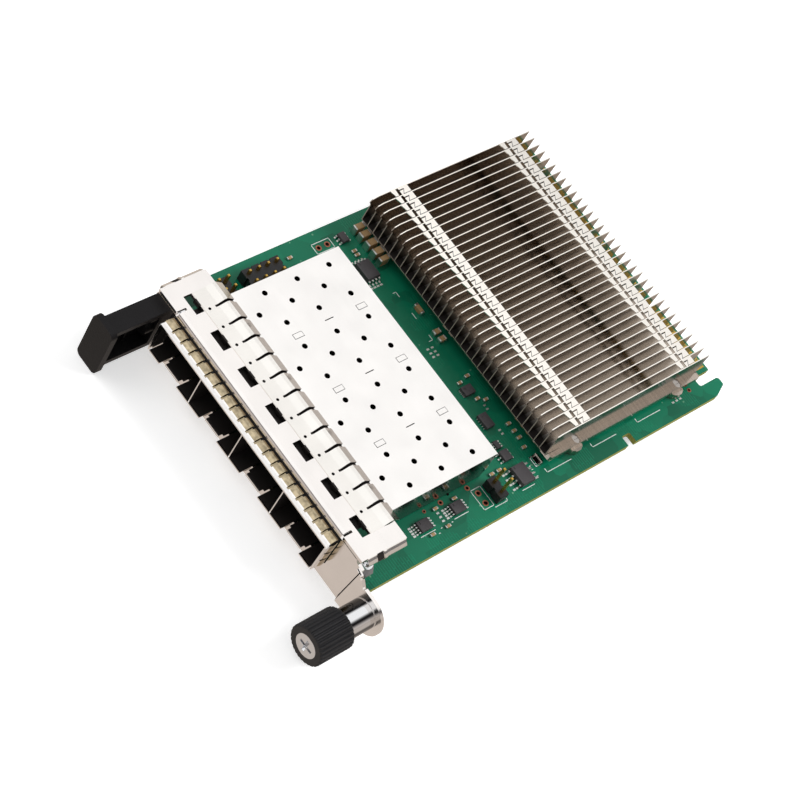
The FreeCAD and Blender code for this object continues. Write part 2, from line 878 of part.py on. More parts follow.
def thumbscrew_knob():
    bore = sleeve_radius + slide_clear
    body = turned([
        (knob_rear, bore), (knob_rear, knob_radius - knob_chamfer),
        (knob_rear - knob_chamfer, knob_radius), (knob_front + knob_chamfer, knob_radius),
        (knob_front, knob_radius - knob_chamfer), (knob_front, insert_radius),
        (knob_front + insert_depth, insert_radius), (knob_front + insert_depth, thread_radius),
        (knob_bore_floor, thread_radius), (knob_bore_floor, bore),
    ])
    rim = []
    for i in range(knob_teeth):
        for share, radius in ((-0.36, knob_radius - knob_tooth), (-0.14, knob_radius + 0.02),
                              (0.14, knob_radius + 0.02), (0.36, knob_radius - knob_tooth)):
            angle = 2 * math.pi * (i + share) / knob_teeth
            rim.append((screw_x + radius * math.cos(angle), screw_z + radius * math.sin(angle)))
    return body.common(plate_y(rim, knob_front - 1, knob_rear + 1))


def thumbscrew_screw():
    """Steel screw pressed into the knob, with a cross recess in its face."""
    screw = turned([
        (knob_front, 0), (knob_front, insert_radius), (knob_front + insert_depth, insert_radius),
        (knob_front + insert_depth, thread_radius), (knob_bore_floor, thread_radius),
        (knob_bore_floor, shank_radius), (thread_start, shank_radius),
        (thread_start + 0.3, thread_radius), (thread_tip - 0.5, thread_radius),
        (thread_tip, thread_radius - 0.5), (thread_tip, 0),
    ])
    bars = []
    for half_x, half_z in ((1.7, 0.35), (0.35, 1.7)):
        bars.append(box(screw_x - half_x, screw_x + half_x, knob_front - 1, knob_front + 1.1,
                        screw_z - half_z, screw_z + half_z))
    return cut(screw, bars)


def thumbscrew_spring():
    """Compression spring between the sleeve floor and the washer in the knob."""
    front = knob_bore_floor + washer_thick + spring_wire
    length = sleeve_floor - spring_wire - front
    steps = spring_turns * spring_steps
    rings = []
    for i in range(steps + 1):
        angle = 2 * math.pi * i / spring_steps
        outward = V(math.cos(angle), 0, math.sin(angle))
        middle = V(screw_x, front + length * i / steps, screw_z) + outward * spring_radius
        ring = []
        for k in range(spring_sides + 1):
            turn = 2 * math.pi * k / spring_sides
            ring.append(middle + outward * (spring_wire * math.cos(turn))
                        + V(0, spring_wire * math.sin(turn), 0))
        rings.append(Part.makePolygon(ring))
    return Part.makeLoft(rings, True, True)


def spring_washer():
    return turned([
        (knob_bore_floor, thread_radius + slide_clear),
        (knob_bore_floor, sleeve_radius - 0.05),
        (knob_bore_floor + washer_thick, sleeve_radius - 0.05),
        (knob_bore_floor + washer_thick, thread_radius + slide_clear),
    ])


def heat_sink_base():
    base = plate_z([(base_left, base_front, 0.5), (base_right, base_front, 0.5),
                    (base_right, base_rear, 0.5), (base_left, base_rear, 0.5)],
                   base_low, base_top)
    pieces = [base] + [facet_post(x, y, boss_radius, 0, base_low, 12) for x, y in fix_places()]
    tools = [facet_post(x, y, fix_thread, -1, base_top) for x, y in fix_places()]
    return cut(fuse(pieces), tools)


def fin(index):
    """Thin upright plate with a foot flange and two zipper tabs that hold the next fin."""
    x = fin_first + index * fin_pitch
    end = x + fin_pitch - tab_gap
    low = fin_top - fin_thick
    upright = plate_x([
        (fin_front_low, base_top), (fin_rear, base_top), (fin_rear, fin_top),
        (fin_front_top + fin_corner * 1.5, fin_top),
        (fin_front_top + fin_corner * 0.4, fin_top - fin_corner * 0.3),
        (fin_front_top, fin_top - fin_corner), (fin_front_low, fin_knee),
    ], x, x + fin_thick)
    pieces = [upright]
    if index < fin_count - 1:
        pieces.append(box(x, end, fin_front_low, fin_rear, base_top, base_top + fin_thick))
    for front in zipper_fronts:
        rear = front + prong_long + zipper_gap
        if index < fin_count - 1:
            pieces.append(plate_z([
                (x, front), (end, front + 0.5), (end, front + prong_long - 0.1),
                (x, front + prong_long),
            ], low, fin_top))
            pieces.append(plate_z([
                (x, rear), (end - tongue_reach, rear), (end - tongue_reach, rear + 1.5),
                (end, rear + 0.7), (end, rear + zipper_long), (x, rear + zipper_long),
            ], low, fin_top))
        if index > 0:
            tip = x - tongue_reach + tab_gap
            pieces.append(plate_z([
                (tip, rear), (x + 0.1, rear), (x + 0.1, rear + 0.45), (x, rear + 0.45),
                (tip, rear + 1.2),
            ], low, fin_top))
    return fuse(pieces)


def heat_sink_screws():
    screws = []
    low = -board_thick - fix_head_high
    for x, y in fix_places():
        screw = facet_post(x, y, fix_head, low, -board_thick, 16)
        screw = screw.fuse(facet_post(x, y, fix_thread, -board_thick, base_top - 0.2))
        bars = []
        for half_x, half_y in ((1.1, 0.25), (0.25, 1.1)):
            bars.append(box(x - half_x, x + half_x, y - half_y, y + half_y, low - 1, low + 0.6))
        screws.append(cut(screw, bars))
    return screws


def square(size, low, high):
    half = size / 2
    return box(chip_x - half, chip_x + half, chip_y - half, chip_y + half, low, high)


def chip_body(x0, x1, y0, y1, low, high, draft):
    """Moulded block whose four sides lean in a little towards the top."""
    middle = low + (high - low) * 0.45
    wires = []
    for z, inset in ((low, draft), (middle, 0), (high, draft)):
        wires.append(Part.makePolygon([
            V(x0 + inset, y0 + inset, z), V(x1 - inset, y0 + inset, z),
            V(x1 - inset, y1 - inset, z), V(x0 + inset, y1 - inset, z),
            V(x0 + inset, y0 + inset, z),
        ]))
    lower = Part.makeLoft(wires[:2], True, True)
    upper = Part.makeLoft(wires[1:], True, True)
    return lower.fuse(upper).removeSplitter()


def gull_lead(level, reach):
    """Side view of a lead that leaves a body level, drops and turns out along the board."""
    return [(0, level), (reach * 0.4, level), (reach * 0.55, 0.16), (reach, 0.16), (reach, 0),
            (reach * 0.42, 0), (reach * 0.3, level - 0.16), (0, level - 0.16)]


def leads_along_y(centres, front, rear, level, reach, wide):
    """Rows of leads on the front and rear side of a body."""
    leads = []
    for x in centres:
        for edge, way in ((front, -1), (rear, 1)):
            points = [(edge + way * p[0], p[1]) for p in gull_lead(level, reach)]
            leads.append(plate_x(points, x - wide / 2, x + wide / 2))
    return leads


def leads_along_x(centres, left, right, level, reach, wide):
    """Rows of leads on the left and right side of a body."""
    leads = []
    for y in centres:
        for edge, way in ((left, -1), (right, 1)):
            points = [(edge + way * p[0], p[1]) for p in gull_lead(level, reach)]
            leads.append(plate_y(points, y - wide / 2, y + wide / 2))
    return leads


def row(middle, count, pitch):
    return [middle + (i - (count - 1) / 2) * pitch for i in range(count)]


def large_driver_chips():
    x, y = driver_right
    left_x, left_y = driver_left
    return [chip_body(x, x + driver_body, y, y + driver_size, 0.1, 1.6, 0.15),
            chip_body(left_x, left_x + driver_body, left_y, left_y + driver_size,
                      0.1, 1.6, 0.15)]


def large_driver_leads():
    x, y = driver_right
    leads = leads_along_y(row(x + driver_body / 2, 4, 1.27), y, y + driver_size,
                          0.95, 1.05, 0.42)
    x, y = driver_left
    leads += leads_along_x(row(y + driver_size / 2, 4, 0.95), x, x + driver_body,
                           0.95, 1.05, 0.4)
    return leads


def small_driver_chips():
    return [chip_body(small_driver_left, small_driver_left + small_driver_wide,
                      y, y + small_driver_long, 0.1, 1.05, 0.1) for y in small_driver_rows]


def small_driver_middle():
    return small_driver_left + small_driver_wide / 2


def small_driver_leads():
    leads = []
    for y in small_driver_rows:
        leads += leads_along_y(row(small_driver_middle(), 4, 0.65), y, y + small_driver_long,
                               0.65, 1.0, 0.3)
    return leads


def corner_chip_places():
    """Left, right, front, rear, top and lead pitch of three small moulded parts."""
    return [(25.6, 28.3, 50.7, 53.1, 1.1, 0.95), (-34.7, -32.1, 52.2, 54.1, 1.1, 0.95),
            (22.95, 25.0, 51.3, 52.6, 0.75, 0.65)]


def corner_chips():
    return [chip_body(left, right, front, rear, 0.1, top, 0.1)
            for left, right, front, rear, top, _ in corner_chip_places()]


def corner_chip_leads():
    leads = []
    for left, right, front, rear, top, pitch in corner_chip_places():
        leads += leads_along_y(row((left + right) / 2, 3, pitch), front, rear,
                               top * 0.55, 0.7, pitch * 0.42)
    return leads


def flat_chips():
    """Leadless square packages in the row before the heat sink."""
    return [box(9.2, 11.5, 53.3, 56.2, 0, 0.85), box(16.4, 20.0, 52.4, 54.8, 0, 0.85)]


def flat_chip_pads():
    pads = []
    for chip in flat_chips():
        edge = chip.BoundBox
        for x in row(edge.Center.x, 5, edge.XLength / 5.6):
            pads.append(box(x - 0.13, x + 0.13, edge.YMin - 0.35, edge.YMin, 0, 0.1))
            pads.append(box(x - 0.13, x + 0.13, edge.YMax, edge.YMax + 0.35, 0, 0.1))
    return pads


def capacitor_spans():
    """Left edge, right edge, front, rear and height of each tan block capacitor."""
    spans = [(-34.4, -33.0), (-32.3, -30.8), (-29.9, -28.3), (-27.5, -25.9), (-25.1, -23.9)]
    rear = capacitor_front + capacitor_long
    blocks = [(left, right, capacitor_front, rear, capacitor_high) for left, right in spans]
    blocks.append((-12.3, -9.6, 57.2, 58.2, 1.1))
    blocks.append((-5.2, -4.0, 56.8, 58.9, 0.9))
    blocks.append((-3.2, -2.0, 56.8, 58.9, 0.9))
    return blocks


def tan_capacitors():
    blocks = []
    for left, right, front, rear, high in capacitor_spans():
        if right - left > rear - front:
            blocks.append(box(left + end_cap, right - end_cap, front, rear, 0.03, high - 0.03))
        else:
            blocks.append(box(left, right, front + end_cap, rear - end_cap, 0.03, high - 0.03))
    return blocks


def capacitor_ends():
    ends = []
    for left, right, front, rear, high in capacitor_spans():
        if right - left > rear - front:
            ends.append(box(left, left + end_cap, front - 0.02, rear + 0.02, 0, high))
            ends.append(box(right - end_cap, right, front - 0.02, rear + 0.02, 0, high))
        else:
            ends.append(box(left - 0.02, right + 0.02, front, front + end_cap, 0, high))
            ends.append(box(left - 0.02, right + 0.02, rear - end_cap, rear, 0, high))
    return ends


def small_part_places():
    """Middle of each small chip part that lies along Y."""
    places = [(7.3, 57.2), (8.0, 54.4), (13.9, 57.3), (21.0, 58.2), (23.0, 58.2), (24.8, 58.2),
              (12.9, 55.6), (27.2, 57.6), (-29.6, 53.6), (-28.5, 53.6), (-34.2, 38.4)]
    places += [(roof_half + 6.05, y) for y in (29.0, 24.6)]
    places += [(roof_half + 0.8, y) for y in (46.2, 48.4)]
    places += [(small_driver_left - 0.7, y) for y in (34.5, 29.0)]
    return places


def small_parts():
    return [box(x - 0.35, x + 0.35, y - 0.4, y + 0.4, 0.02, 0.5) for x, y in small_part_places()]


def small_part_ends():
    ends = []
    for x, y in small_part_places():
        ends.append(box(x - 0.36, x + 0.36, y - 0.7, y - 0.4, 0, 0.52))
        ends.append(box(x - 0.36, x + 0.36, y + 0.4, y + 0.7, 0, 0.52))
    return ends


def solder_pads():
    """Bare tinned pads beside the leads, on the right strip and in the middle row."""
    places = [(34.4, board_length - 15.6 + i * 1.2) for i in range(3)]
    places += [(x, y) for x in (-2.0, -0.9, 0.1) for y in (53.3, 54.6)]
    places += [(x, 56.3) for x in (14.9, 15.9)]
    places += [(x, 55.4) for x in (21.3, 22.3)]
    places += [(small_driver_middle() - 1.0 + i, 29.0) for i in range(3)]
    x, y = driver_right
    for lead in row(x + driver_body / 2, 4, 1.27):
        places += [(lead, y - 1.5), (lead, y + driver_size + 1.5)]
    for y in small_driver_rows:
        places += [(lead, y - 1.5) for lead in row(small_driver_middle(), 4, 0.65)]
    x, y = driver_left
    for lead in row(y + driver_size / 2, 4, 0.95):
        places.append((x + driver_body + 1.5, lead))
    return [box(x - 0.22, x + 0.22, y - 0.35, y + 0.35, 0, pad_thick) for x, y in places]


def header_block(columns, first, count, high):
    """Black base of an upright header, notched between its pins."""
    left = columns[0] - pin_pitch / 2
    right = columns[-1] + pin_pitch / 2
    front = first - pin_pitch / 2
    rear = first + (count - 0.5) * pin_pitch
    block = box(left, right, front, rear, 0, high)
    notches = []
    for i in range(1, count):
        y = first + (i - 0.5) * pin_pitch
        notches += [(left, y), (right, y)]
    for i in range(1, len(columns)):
        x = columns[i] - pin_pitch / 2
        notches += [(x, front), (x, rear)]
    tools = [facet_post(x, y, 0.45, 0, high, 4) for x, y in notches]
    for x in columns:
        for i in range(count):
            y = first + i * pin_pitch
            tools.append(box(x - header_pin, x + header_pin, y - header_pin, y + header_pin,
                             0, high))
    return cut(block, tools)


def header_bases():
    return [header_block(columns, first, count, high)
            for columns, (first, count, high, _) in headers()]


def header_pins():
    pins = []
    for x, y, top in header_pin_places():
        pin = box(x - header_pin, x + header_pin, y - header_pin, y + header_pin,
                  header_pin_tip, top)
        ends = [edge for edge in pin.Edges if abs(edge.CenterOfMass.z - top) < 0.01]
        pins.append(pin.makeChamfer(header_pin * 0.4, ends))
    return pins


def crystal_can():
    can = plate_z([(29.75, 57.1, 0.5), (32.2, 57.1, 0.5), (32.2, 59.0, 0.5),
                   (29.75, 59.0, 0.5)], 0.15, 0.85)
    seat = box(29.65, 32.3, 57.0, 59.1, 0, 0.2)
    return fuse([can, seat])


def insulator_film():
    """Thin sheet under the board, open around screws, pins and the plug contacts."""
    low = -board_thick - film_thick
    half = board_width / 2 - film_side
    film = plate_z([(-half, film_front), (half, film_front), (half, film_back),
                    (-half, film_back)], low, -board_thick)
    tools = []
    for x, y in fix_places():
        tools.append(facet_post(x, y, 2.6, low - 1, 0))
    for side in (-1, 1):
        tools.append(facet_post(side * foot_screw_x, foot_screw_y, 2.2, low - 1, 0))
    for columns, (first, count, _, _) in headers():
        tools.append(box(columns[0] - 1.6, columns[-1] + 1.6, first - 1.6,
                         first + (count - 1) * pin_pitch + 1.6, low - 1, 0))
    for x, y in cage_pin_places():
        tools.append(box(x - 0.6, x + 0.6, y - 0.8, y + 0.8, low - 1, 0))
    tools.append(box(side_notch_floor - 0.8, board_width, side_notch_start - 0.8,
                     side_notch_end + 0.8, low - 1, 0))
    return cut(film, tools)


def main():
    save("pcb", pcb())
    save("edge_contacts", edge_contacts())
    save("plated_rings", plated_rings())
    save("solder_pads", solder_pads())
    save("cage_body", cage_body())
    save("cage_floor", cage_floor())
    save("cage_dividers", cage_dividers())
    save("nose_springs_long", nose_springs_long())
    save("nose_springs_side", nose_springs_side())
    save("host_connectors", host_connectors())
    save("host_contacts", host_contacts_all())
    save("faceplate", faceplate())
    save("foot_screws", foot_screws())
    save("top_finger_strip", top_finger_strip())
    save("right_finger_strip", side_finger_strip(flange_right))
    save("left_finger_strip", mirrored(side_finger_strip(-flange_left)))
    save("pull_tab", pull_tab())
    save("tab_screws", tab_screws())
    save("thumbscrew_sleeve", thumbscrew_sleeve())
    save("thumbscrew_knob", thumbscrew_knob())
    save("thumbscrew_screw", thumbscrew_screw())
    save("thumbscrew_spring", thumbscrew_spring())
    save("spring_washer", spring_washer())
    save("heat_sink_base", heat_sink_base())
    save("fin_stack", [fin(i) for i in range(fin_count)])
    save("heat_sink_screws", heat_sink_screws())
    save("controller_substrate", square(chip_size, 0, chip_top))
    save("controller_lid", square(lid_size, chip_top, lid_top))
    save("thermal_pad", square(lid_size - 1, lid_top, base_low))
    save("large_driver_chips", large_driver_chips())
    save("large_driver_leads", large_driver_leads())
    save("small_driver_chips", small_driver_chips())
    save("small_driver_leads", small_driver_leads())
    save("corner_chips", corner_chips())
    save("corner_chip_leads", corner_chip_leads())
    save("flat_chips", flat_chips())
    save("flat_chip_pads", flat_chip_pads())
    save("tan_capacitors", tan_capacitors())
    save("capacitor_ends", capacitor_ends())
    save("small_parts", small_parts())
    save("small_part_ends", small_part_ends())
    save("header_bases", header_bases())
    save("header_pins", header_pins())
    save("crystal_can", crystal_can())
    save("insulator_film", insulator_film())


main()
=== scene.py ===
import json
import math

import bpy
from bpy.props import FloatProperty, FloatVectorProperty, PointerProperty
from mathutils import Matrix, Vector


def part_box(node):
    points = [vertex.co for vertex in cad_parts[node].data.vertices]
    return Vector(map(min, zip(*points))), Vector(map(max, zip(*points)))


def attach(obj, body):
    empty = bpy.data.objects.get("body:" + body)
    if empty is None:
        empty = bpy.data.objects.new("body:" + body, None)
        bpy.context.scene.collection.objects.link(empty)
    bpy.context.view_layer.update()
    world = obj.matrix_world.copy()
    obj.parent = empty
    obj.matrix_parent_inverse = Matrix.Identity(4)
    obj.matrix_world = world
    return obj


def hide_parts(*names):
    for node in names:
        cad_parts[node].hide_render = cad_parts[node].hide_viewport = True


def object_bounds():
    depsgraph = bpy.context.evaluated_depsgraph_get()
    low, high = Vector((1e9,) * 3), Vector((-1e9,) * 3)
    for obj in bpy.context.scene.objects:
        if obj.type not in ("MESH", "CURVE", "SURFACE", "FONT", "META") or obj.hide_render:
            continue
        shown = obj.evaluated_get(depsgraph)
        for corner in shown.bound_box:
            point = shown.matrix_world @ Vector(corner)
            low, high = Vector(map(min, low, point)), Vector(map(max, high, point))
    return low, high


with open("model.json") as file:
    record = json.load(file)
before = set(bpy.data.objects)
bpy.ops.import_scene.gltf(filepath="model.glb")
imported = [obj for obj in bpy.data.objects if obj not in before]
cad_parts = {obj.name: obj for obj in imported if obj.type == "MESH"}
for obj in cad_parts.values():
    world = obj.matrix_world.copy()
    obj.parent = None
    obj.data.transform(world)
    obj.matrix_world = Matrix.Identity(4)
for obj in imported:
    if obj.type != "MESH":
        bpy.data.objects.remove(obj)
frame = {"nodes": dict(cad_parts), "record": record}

bl_info = {
    "name": "Mezzanine network card",
    "version": (1, 0, 0),
    "blender": (4, 5, 0),
    "location": "View3D > Sidebar > Card",
    "description": "Finishes and fine pieces for a slide-in network card",
    "category": "Object",
}

MM = 0.001
cad_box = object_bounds()

# Regions with a finish of their own: ranges of place in millimetres of the part's frame, and of
# facing from -1 to 1. abs_ stands for either side of the middle.
PORTS = {"abs_x": (0, 28.1), "y": (-4.4, 43.2), "z": (0.55, 9.35), "face_y": (-0.7, 1.1)}
PORT_CEILINGS = {"abs_x": (0, 28.1), "z": (9.2, 9.5), "face_z": (-1.1, -0.5)}
ROOF_BELOW_FLANGE = {"y": (-1.9, 12.9), "z": (9.2, 9.8)}
ROOF_BELOW_SPRINGS = {"y": (-3.75, -1.9), "z": (9.2, 9.8)}
ROOF_CUTS = {"abs_x": (0, 27.8), "y": (13.3, 43.0), "z": (9.4, 9.66)}
NOSE_SIDES = {"abs_x": (28.2, 28.6), "y": (-3.75, -0.8)}
LONG_WALLS = {"abs_x": (28.2, 28.3), "y": (-0.8, 43.2), "z": (0.0, 9.4)}
SPRING_RIM = {"y": (-4.9, -3.5)}
PLATE_WINDOWS = {"x": (-31.4, 31.0), "y": (2.4, 4.7), "z": (9.5, 11.3), "face_z": (-0.5, 0.5)}
PLATE_BELOW_STRIP = {"x": (-31.0, 30.5), "y": (5.0, 8.1), "z": (9.5, 11.3)}
PLATE_FOOT = {"x": (30.0, 36.0), "y": (-0.8, 9.0), "z": (0.3, 1.0), "face_z": (0.5, 1.1)}
EAR_BEND = {"x": (34.5, 36.6), "y": (-1.6, -1.3), "z": (-4.0, 10.0)}
STRIP_UNDERSIDE = {"y": (4.8, 13.3), "face_z": (-1.1, -0.4)}
STRIP_SLITS = {"x": (-31.0, 30.5), "y": (5.0, 13.3), "abs_face_x": (0.6, 1.1)}
STRIP_HOOKS = {"x": (-31.0, 30.5), "y": (3.0, 6.6), "z": (9.9, 11.14)}
STRIP_BENDS = {"y": (3.0, 4.72)}
SLEEVE = {"x": (36.0, 47.0), "y": (-8.4, -1.9), "face_y": (-0.5, 0.5)}
LAST_FIN = {"x": (31.3, 32.0), "face_x": (0.6, 1.1)}
LAST_FIN_RISE = (6.9, 7.7)
FIN_FRONTS = {"y": (56, 62), "face_y": (-1.1, -0.6)}
FIN_FEET = {"z": (3.1, 3.46)}
FIN_FEET_FADE = (60.5, 64.0)
BLOCK_TOP = {"x": (-34.6, 31.7), "z": (3.1, 3.3)}
BOARD_BELOW_FLANGE = {"x": (-33, 31.5), "y": (0, 9)}
BOARD_CORNER = {"x": (-36.5, -33), "y": (0, 13.5)}
DRILLED_HOLES = {"x": (-36.5, 35.3), "y": (1.0, 108.0)}

# Printed marks on the board, in millimetres: closed frames as x0, x1, y0, y1, open strokes from
# point to point, and dots with half of their length
PRINT_FRAMES = ((30.0, 35.0, 39.2, 42.0), (-35.0, -32.4, 45.3, 50.3))
PRINT_STROKES = (
    [(-17.0, 55.2), (-17.0, 56.0), (-15.7, 56.0)],
    [(-11.0, 56.0), (-9.5, 56.0)],
    [(-4.8, 56.0), (-3.5, 56.0), (-3.5, 55.0)],
    [(35.6, 42.0), (35.6, 45.6), (34.6, 45.6)],
    [(35.3, 50.4), (35.3, 54.0)],
    [(34.4, 66.1), (34.4, 58.7), (33.5, 58.7)],
    [(34.4, 80.4), (34.4, 73.0), (33.5, 73.0)],
    [(34.4, 94.9), (34.4, 87.5), (33.5, 87.5)],
    [(33.6, 31.6), (33.6, 35.6)],
    [(33.6, 22.0), (33.6, 26.0)],
)
PRINT_DOTS = ((33.9, 27.6), (33.9, 28.7), (33.9, 29.6), (33.9, 30.7), (31.4, 55.9),
              (32.3, 55.9), (33.1, 55.9), (34.1, 55.9), (34.7, 26.4))
DOT_HALF = 0.12

# The screw's thread: its turns, the steps that it is wound in, and its start in pitches from
# the turned end
THREAD_TURNS = 2.3
THREAD_STEPS = 60
THREAD_LEAD = 0.4

# Distance in metres below which vertices are welded, and the angle from which edges are sharp
WELD = 0.000002
SMOOTH_ANGLE = math.radians(35)

# Roughness of metal that no light reaches
DULL_ROUGHNESS = 0.65


def linear(code):
    """sRGB hex to the linear colour that a shader takes."""
    channels = [int(code[i:i + 2], 16) / 255 for i in (1, 3, 5)]
    return tuple(c / 12.92 if c <= 0.04045 else ((c + 0.055) / 1.055) ** 2.4 for c in channels)


def colour(name, code, about):
    """Colour that a user can change, from an sRGB hex code."""
    return FloatVectorProperty(name=name, description=about, subtype="COLOR", size=3,
                               min=0, max=1, default=linear(code))


def length(name, value, about):
    """Length that a user can change, from millimetres."""
    return FloatProperty(name=name, description=about, default=value * MM, min=0,
                         unit="LENGTH", subtype="DISTANCE", precision=6)


class CardColours(bpy.types.PropertyGroup):
    """Colours of the card's materials"""
    mask: colour("Solder mask", "#0b6b4e", "Green lacquer over the board")
    covered_hole: colour("Covered hole", "#7fae8e", "Plated hole under the lacquer")
    drilled: colour("Drilled hole", "#3a150d", "Copper-lined wall of a hole in the board")
    laminate: colour("Laminate", "#9a9a4e", "Bare glass laminate on the board's edges")
    print_ink: colour("Print", "#dfe8e2", "White printed outlines")
    nickel: colour("Nickel", "#faf8f6", "Nickel-plated sheet of the cage")
    stainless: colour("Stainless", "#f8f4f1", "Polished faceplate")
    strip: colour("Spring strip", "#f8f5f0", "Sprung finger strips")
    nylon: colour("Nylon", "#0f0e10", "Pull tab")
    housing: colour("Housing", "#19191b", "Connector and header mouldings")
    moulding: colour("Chip moulding", "#413e40", "Epoxy chip bodies")
    alloy: colour("Spring alloy", "#cfbf9f", "Small springs round the cage's nose")
    unlit: colour("Unlit metal", "#171210", "Metal in ports, slits and windows")
    steel: colour("Turned steel", "#e3e4e6", "Zinc-plated sleeve and screws")
    fin_side: colour("Fin side", "#8f7e6b", "Warm-toned flat of each fin")
    fin_outside: colour("Fin outside", "#2b3325", "Shaded board, mirrored by the last fin")
    # Painted shade: the fins' front edges, darker and duller than their bare edges
    fin_front: colour("Fin front", "#a2968a", "Dull front edge of each fin")
    block: colour("Block", "#c4b8ac", "Milled block under the fins")
    fin_edge: colour("Fin edge", "#fbf7f0", "Bare edge of each fin")
    gold: colour("Gold", "#d8b25a", "Plated contacts and pins")
    copper: colour("Copper", "#b0705a", "Bare ring round a hole")
    tin: colour("Tin", "#dddedb", "Soldered leads and pads")
    ceramic: colour("Ceramic", "#a98a63", "Block capacitors")
    package: colour("Package", "#2b5a45", "Laminate under the main chip's lid")
    film: colour("Film", "#1b1b1c", "Insulating film below the board")
    gap_pad: colour("Gap pad", "#8d9296", "Pad between the lid and the heat sink")
    knob: colour("Knob", "#1b1b1d", "Thumbscrew's knob")
    table: colour("Table", "#cec3ba", "Studio table, as polished metal mirrors it")


class CardSizes(bpy.types.PropertyGroup):
    """Sizes of the card's fine pieces"""
    mould_ease: length("Moulded edge", 0.3, "Rounding of the pull tab's edges")
    chip_ease: length("Chip edge", 0.06, "Rounding of chips, headers and capacitors")
    end_ease: length("End cap edge", 0.08, "Rounding of the dipped ends of small parts")
    turned_ease: length("Turned edge", 0.1, "Rounding of the knob and the sleeve")
    screw_ease: length("Screw edge", 0.06, "Chamfer on the screw's edges")
    print_width: length("Print line", 0.18, "Width of a printed line")
    print_thick: length("Print height", 0.02, "Height of the ink above the board")
    thread_pitch: length("Thread pitch", 0.5, "Pitch of the thumbscrew's thread")
    thread_depth: length("Thread depth", 0.28, "Depth of the thumbscrew's thread")
    thread_radius: length("Thread radius", 1.5, "Outer radius of the thumbscrew's thread")
    thread_long: length("Thread length", 2.1, "Length of the thumbscrew's threaded end")
    dimple: length("Dimple", 0.28, "Radius of the mark by a chip's first lead")
    dimple_inset: length("Dimple inset", 0.7, "Distance of that mark from the chip's sides")
    dimple_tool: length("Dimple tool", 0.2, "Height of the tool, which sinks in by half")


def colours():
    """The scene's colours."""
    return bpy.context.scene.card_colours


def sizes():
    """The scene's sizes."""
    return bpy.context.scene.card_sizes


# Nodes of a material


def add(tree, kind, values=None, **settings):
    """Adds one node, sets its properties, and sets or links its inputs."""
    node = tree.nodes.new(kind)
    for key, value in settings.items():
        setattr(node, key, value)
    for key, value in (values or {}).items():
        if isinstance(value, bpy.types.NodeSocket):
            tree.links.new(value, node.inputs[key])
        else:
            node.inputs[key].default_value = value
    return node


def fresh(name):
    """An empty material with a Principled shader on its output."""
    material = bpy.data.materials.new(name)
    material.use_nodes = True
    tree = material.node_tree
    tree.nodes.clear()
    shader = add(tree, "ShaderNodeBsdfPrincipled")
    add(tree, "ShaderNodeOutputMaterial", {"Surface": shader.outputs["BSDF"]})
    return material, tree, shader


def place(tree, per_mm=1.0, stretch=(1, 1, 1)):
    """Object coordinates in millimetres, times a density, and drawn out along some axes."""
    where = add(tree, "ShaderNodeTexCoord")
    return add(tree, "ShaderNodeMapping", {
        "Vector": where.outputs["Object"],
        "Scale": tuple(per_mm / MM * share for share in stretch)}).outputs["Vector"]


def rgba(value):
    """A colour with full opacity."""
    return (value[0], value[1], value[2], 1.0)


def shade(value, factor):
    """A colour made darker or lighter, with full opacity."""
    return (value[0] * factor, value[1] * factor, value[2] * factor, 1.0)


def noise(tree, per_mm, detail=3.0, stretch=(1, 1, 1)):
    """Cloudy pattern with so many lumps per millimetre, drawn out along some axes."""
    return add(tree, "ShaderNodeTexNoise", {
        "Vector": place(tree, per_mm, stretch), "Scale": 1.0, "Detail": detail})


def ramp(tree, value, stops):
    """Colour ramp through (place, colour) stops."""
    node = add(tree, "ShaderNodeValToRGB", {"Fac": value})
    elements = node.color_ramp.elements
    while len(elements) < len(stops):
        elements.new(0.5)
    for element, (at, tint) in zip(elements, stops):
        element.position = at
        element.color = tint
    return node.outputs["Color"]


def spread(tree, value, low, high, start=0.0, end=1.0):
    """Maps a pattern, from 0 to 1 or other limits, on a range of numbers."""
    node = add(tree, "ShaderNodeMapRange", {
        "Value": value, "From Min": start, "From Max": end, "To Min": low, "To Max": high})
    return node.outputs["Result"]


def relief(tree, shader, height, distance):
    """Bump of a real depth in metres."""
    bump = add(tree, "ShaderNodeBump", {
        "Height": height, "Distance": distance, "Strength": 1.0})
    tree.links.new(bump.outputs["Normal"], shader.inputs["Normal"])


def set_shader(shader, **values):
    """Uniform values on the shader's own sockets."""
    for key, value in values.items():
        shader.inputs[key.replace("_", " ")].default_value = value


def mix(tree, factor, first, second):
    """Blend of two colours by a factor socket."""
    node = add(tree, "ShaderNodeMix", data_type="RGBA")
    # Sockets of a colour mix: 0 is the factor, 6 and 7 are the colours, output 2 is the blend
    for index, value in ((0, factor), (6, first), (7, second)):
        if isinstance(value, bpy.types.NodeSocket):
            tree.links.new(value, node.inputs[index])
        else:
            node.inputs[index].default_value = value
    return node.outputs[2]


def calc(tree, what, first, second=0.0, third=0.0):
    """One sum on numbers or sockets."""
    node = add(tree, "ShaderNodeMath", operation=what)
    for index, value in enumerate((first, second, third)):
        if isinstance(value, bpy.types.NodeSocket):
            tree.links.new(value, node.inputs[index])
        else:
            node.inputs[index].default_value = value
    return node.outputs[0]


def places(tree):
    """Place in millimetres and facing of each point, as two sets of X, Y and Z."""
    at = add(tree, "ShaderNodeSeparateXYZ", {"Vector": place(tree)}).outputs
    way = add(tree, "ShaderNodeTexCoord").outputs["Normal"]
    return at, add(tree, "ShaderNodeSeparateXYZ", {"Vector": way}).outputs


def within(tree, value, low, high):
    """1 where a number lies between two limits, and 0 elsewhere."""
    return calc(tree, "COMPARE", value, (low + high) / 2, (high - low) / 2)


def both(tree, *masks):
    """1 where all of the masks are 1."""
    found = masks[0]
    for mask in masks[1:]:
        found = calc(tree, "MULTIPLY", found, mask)
    return found


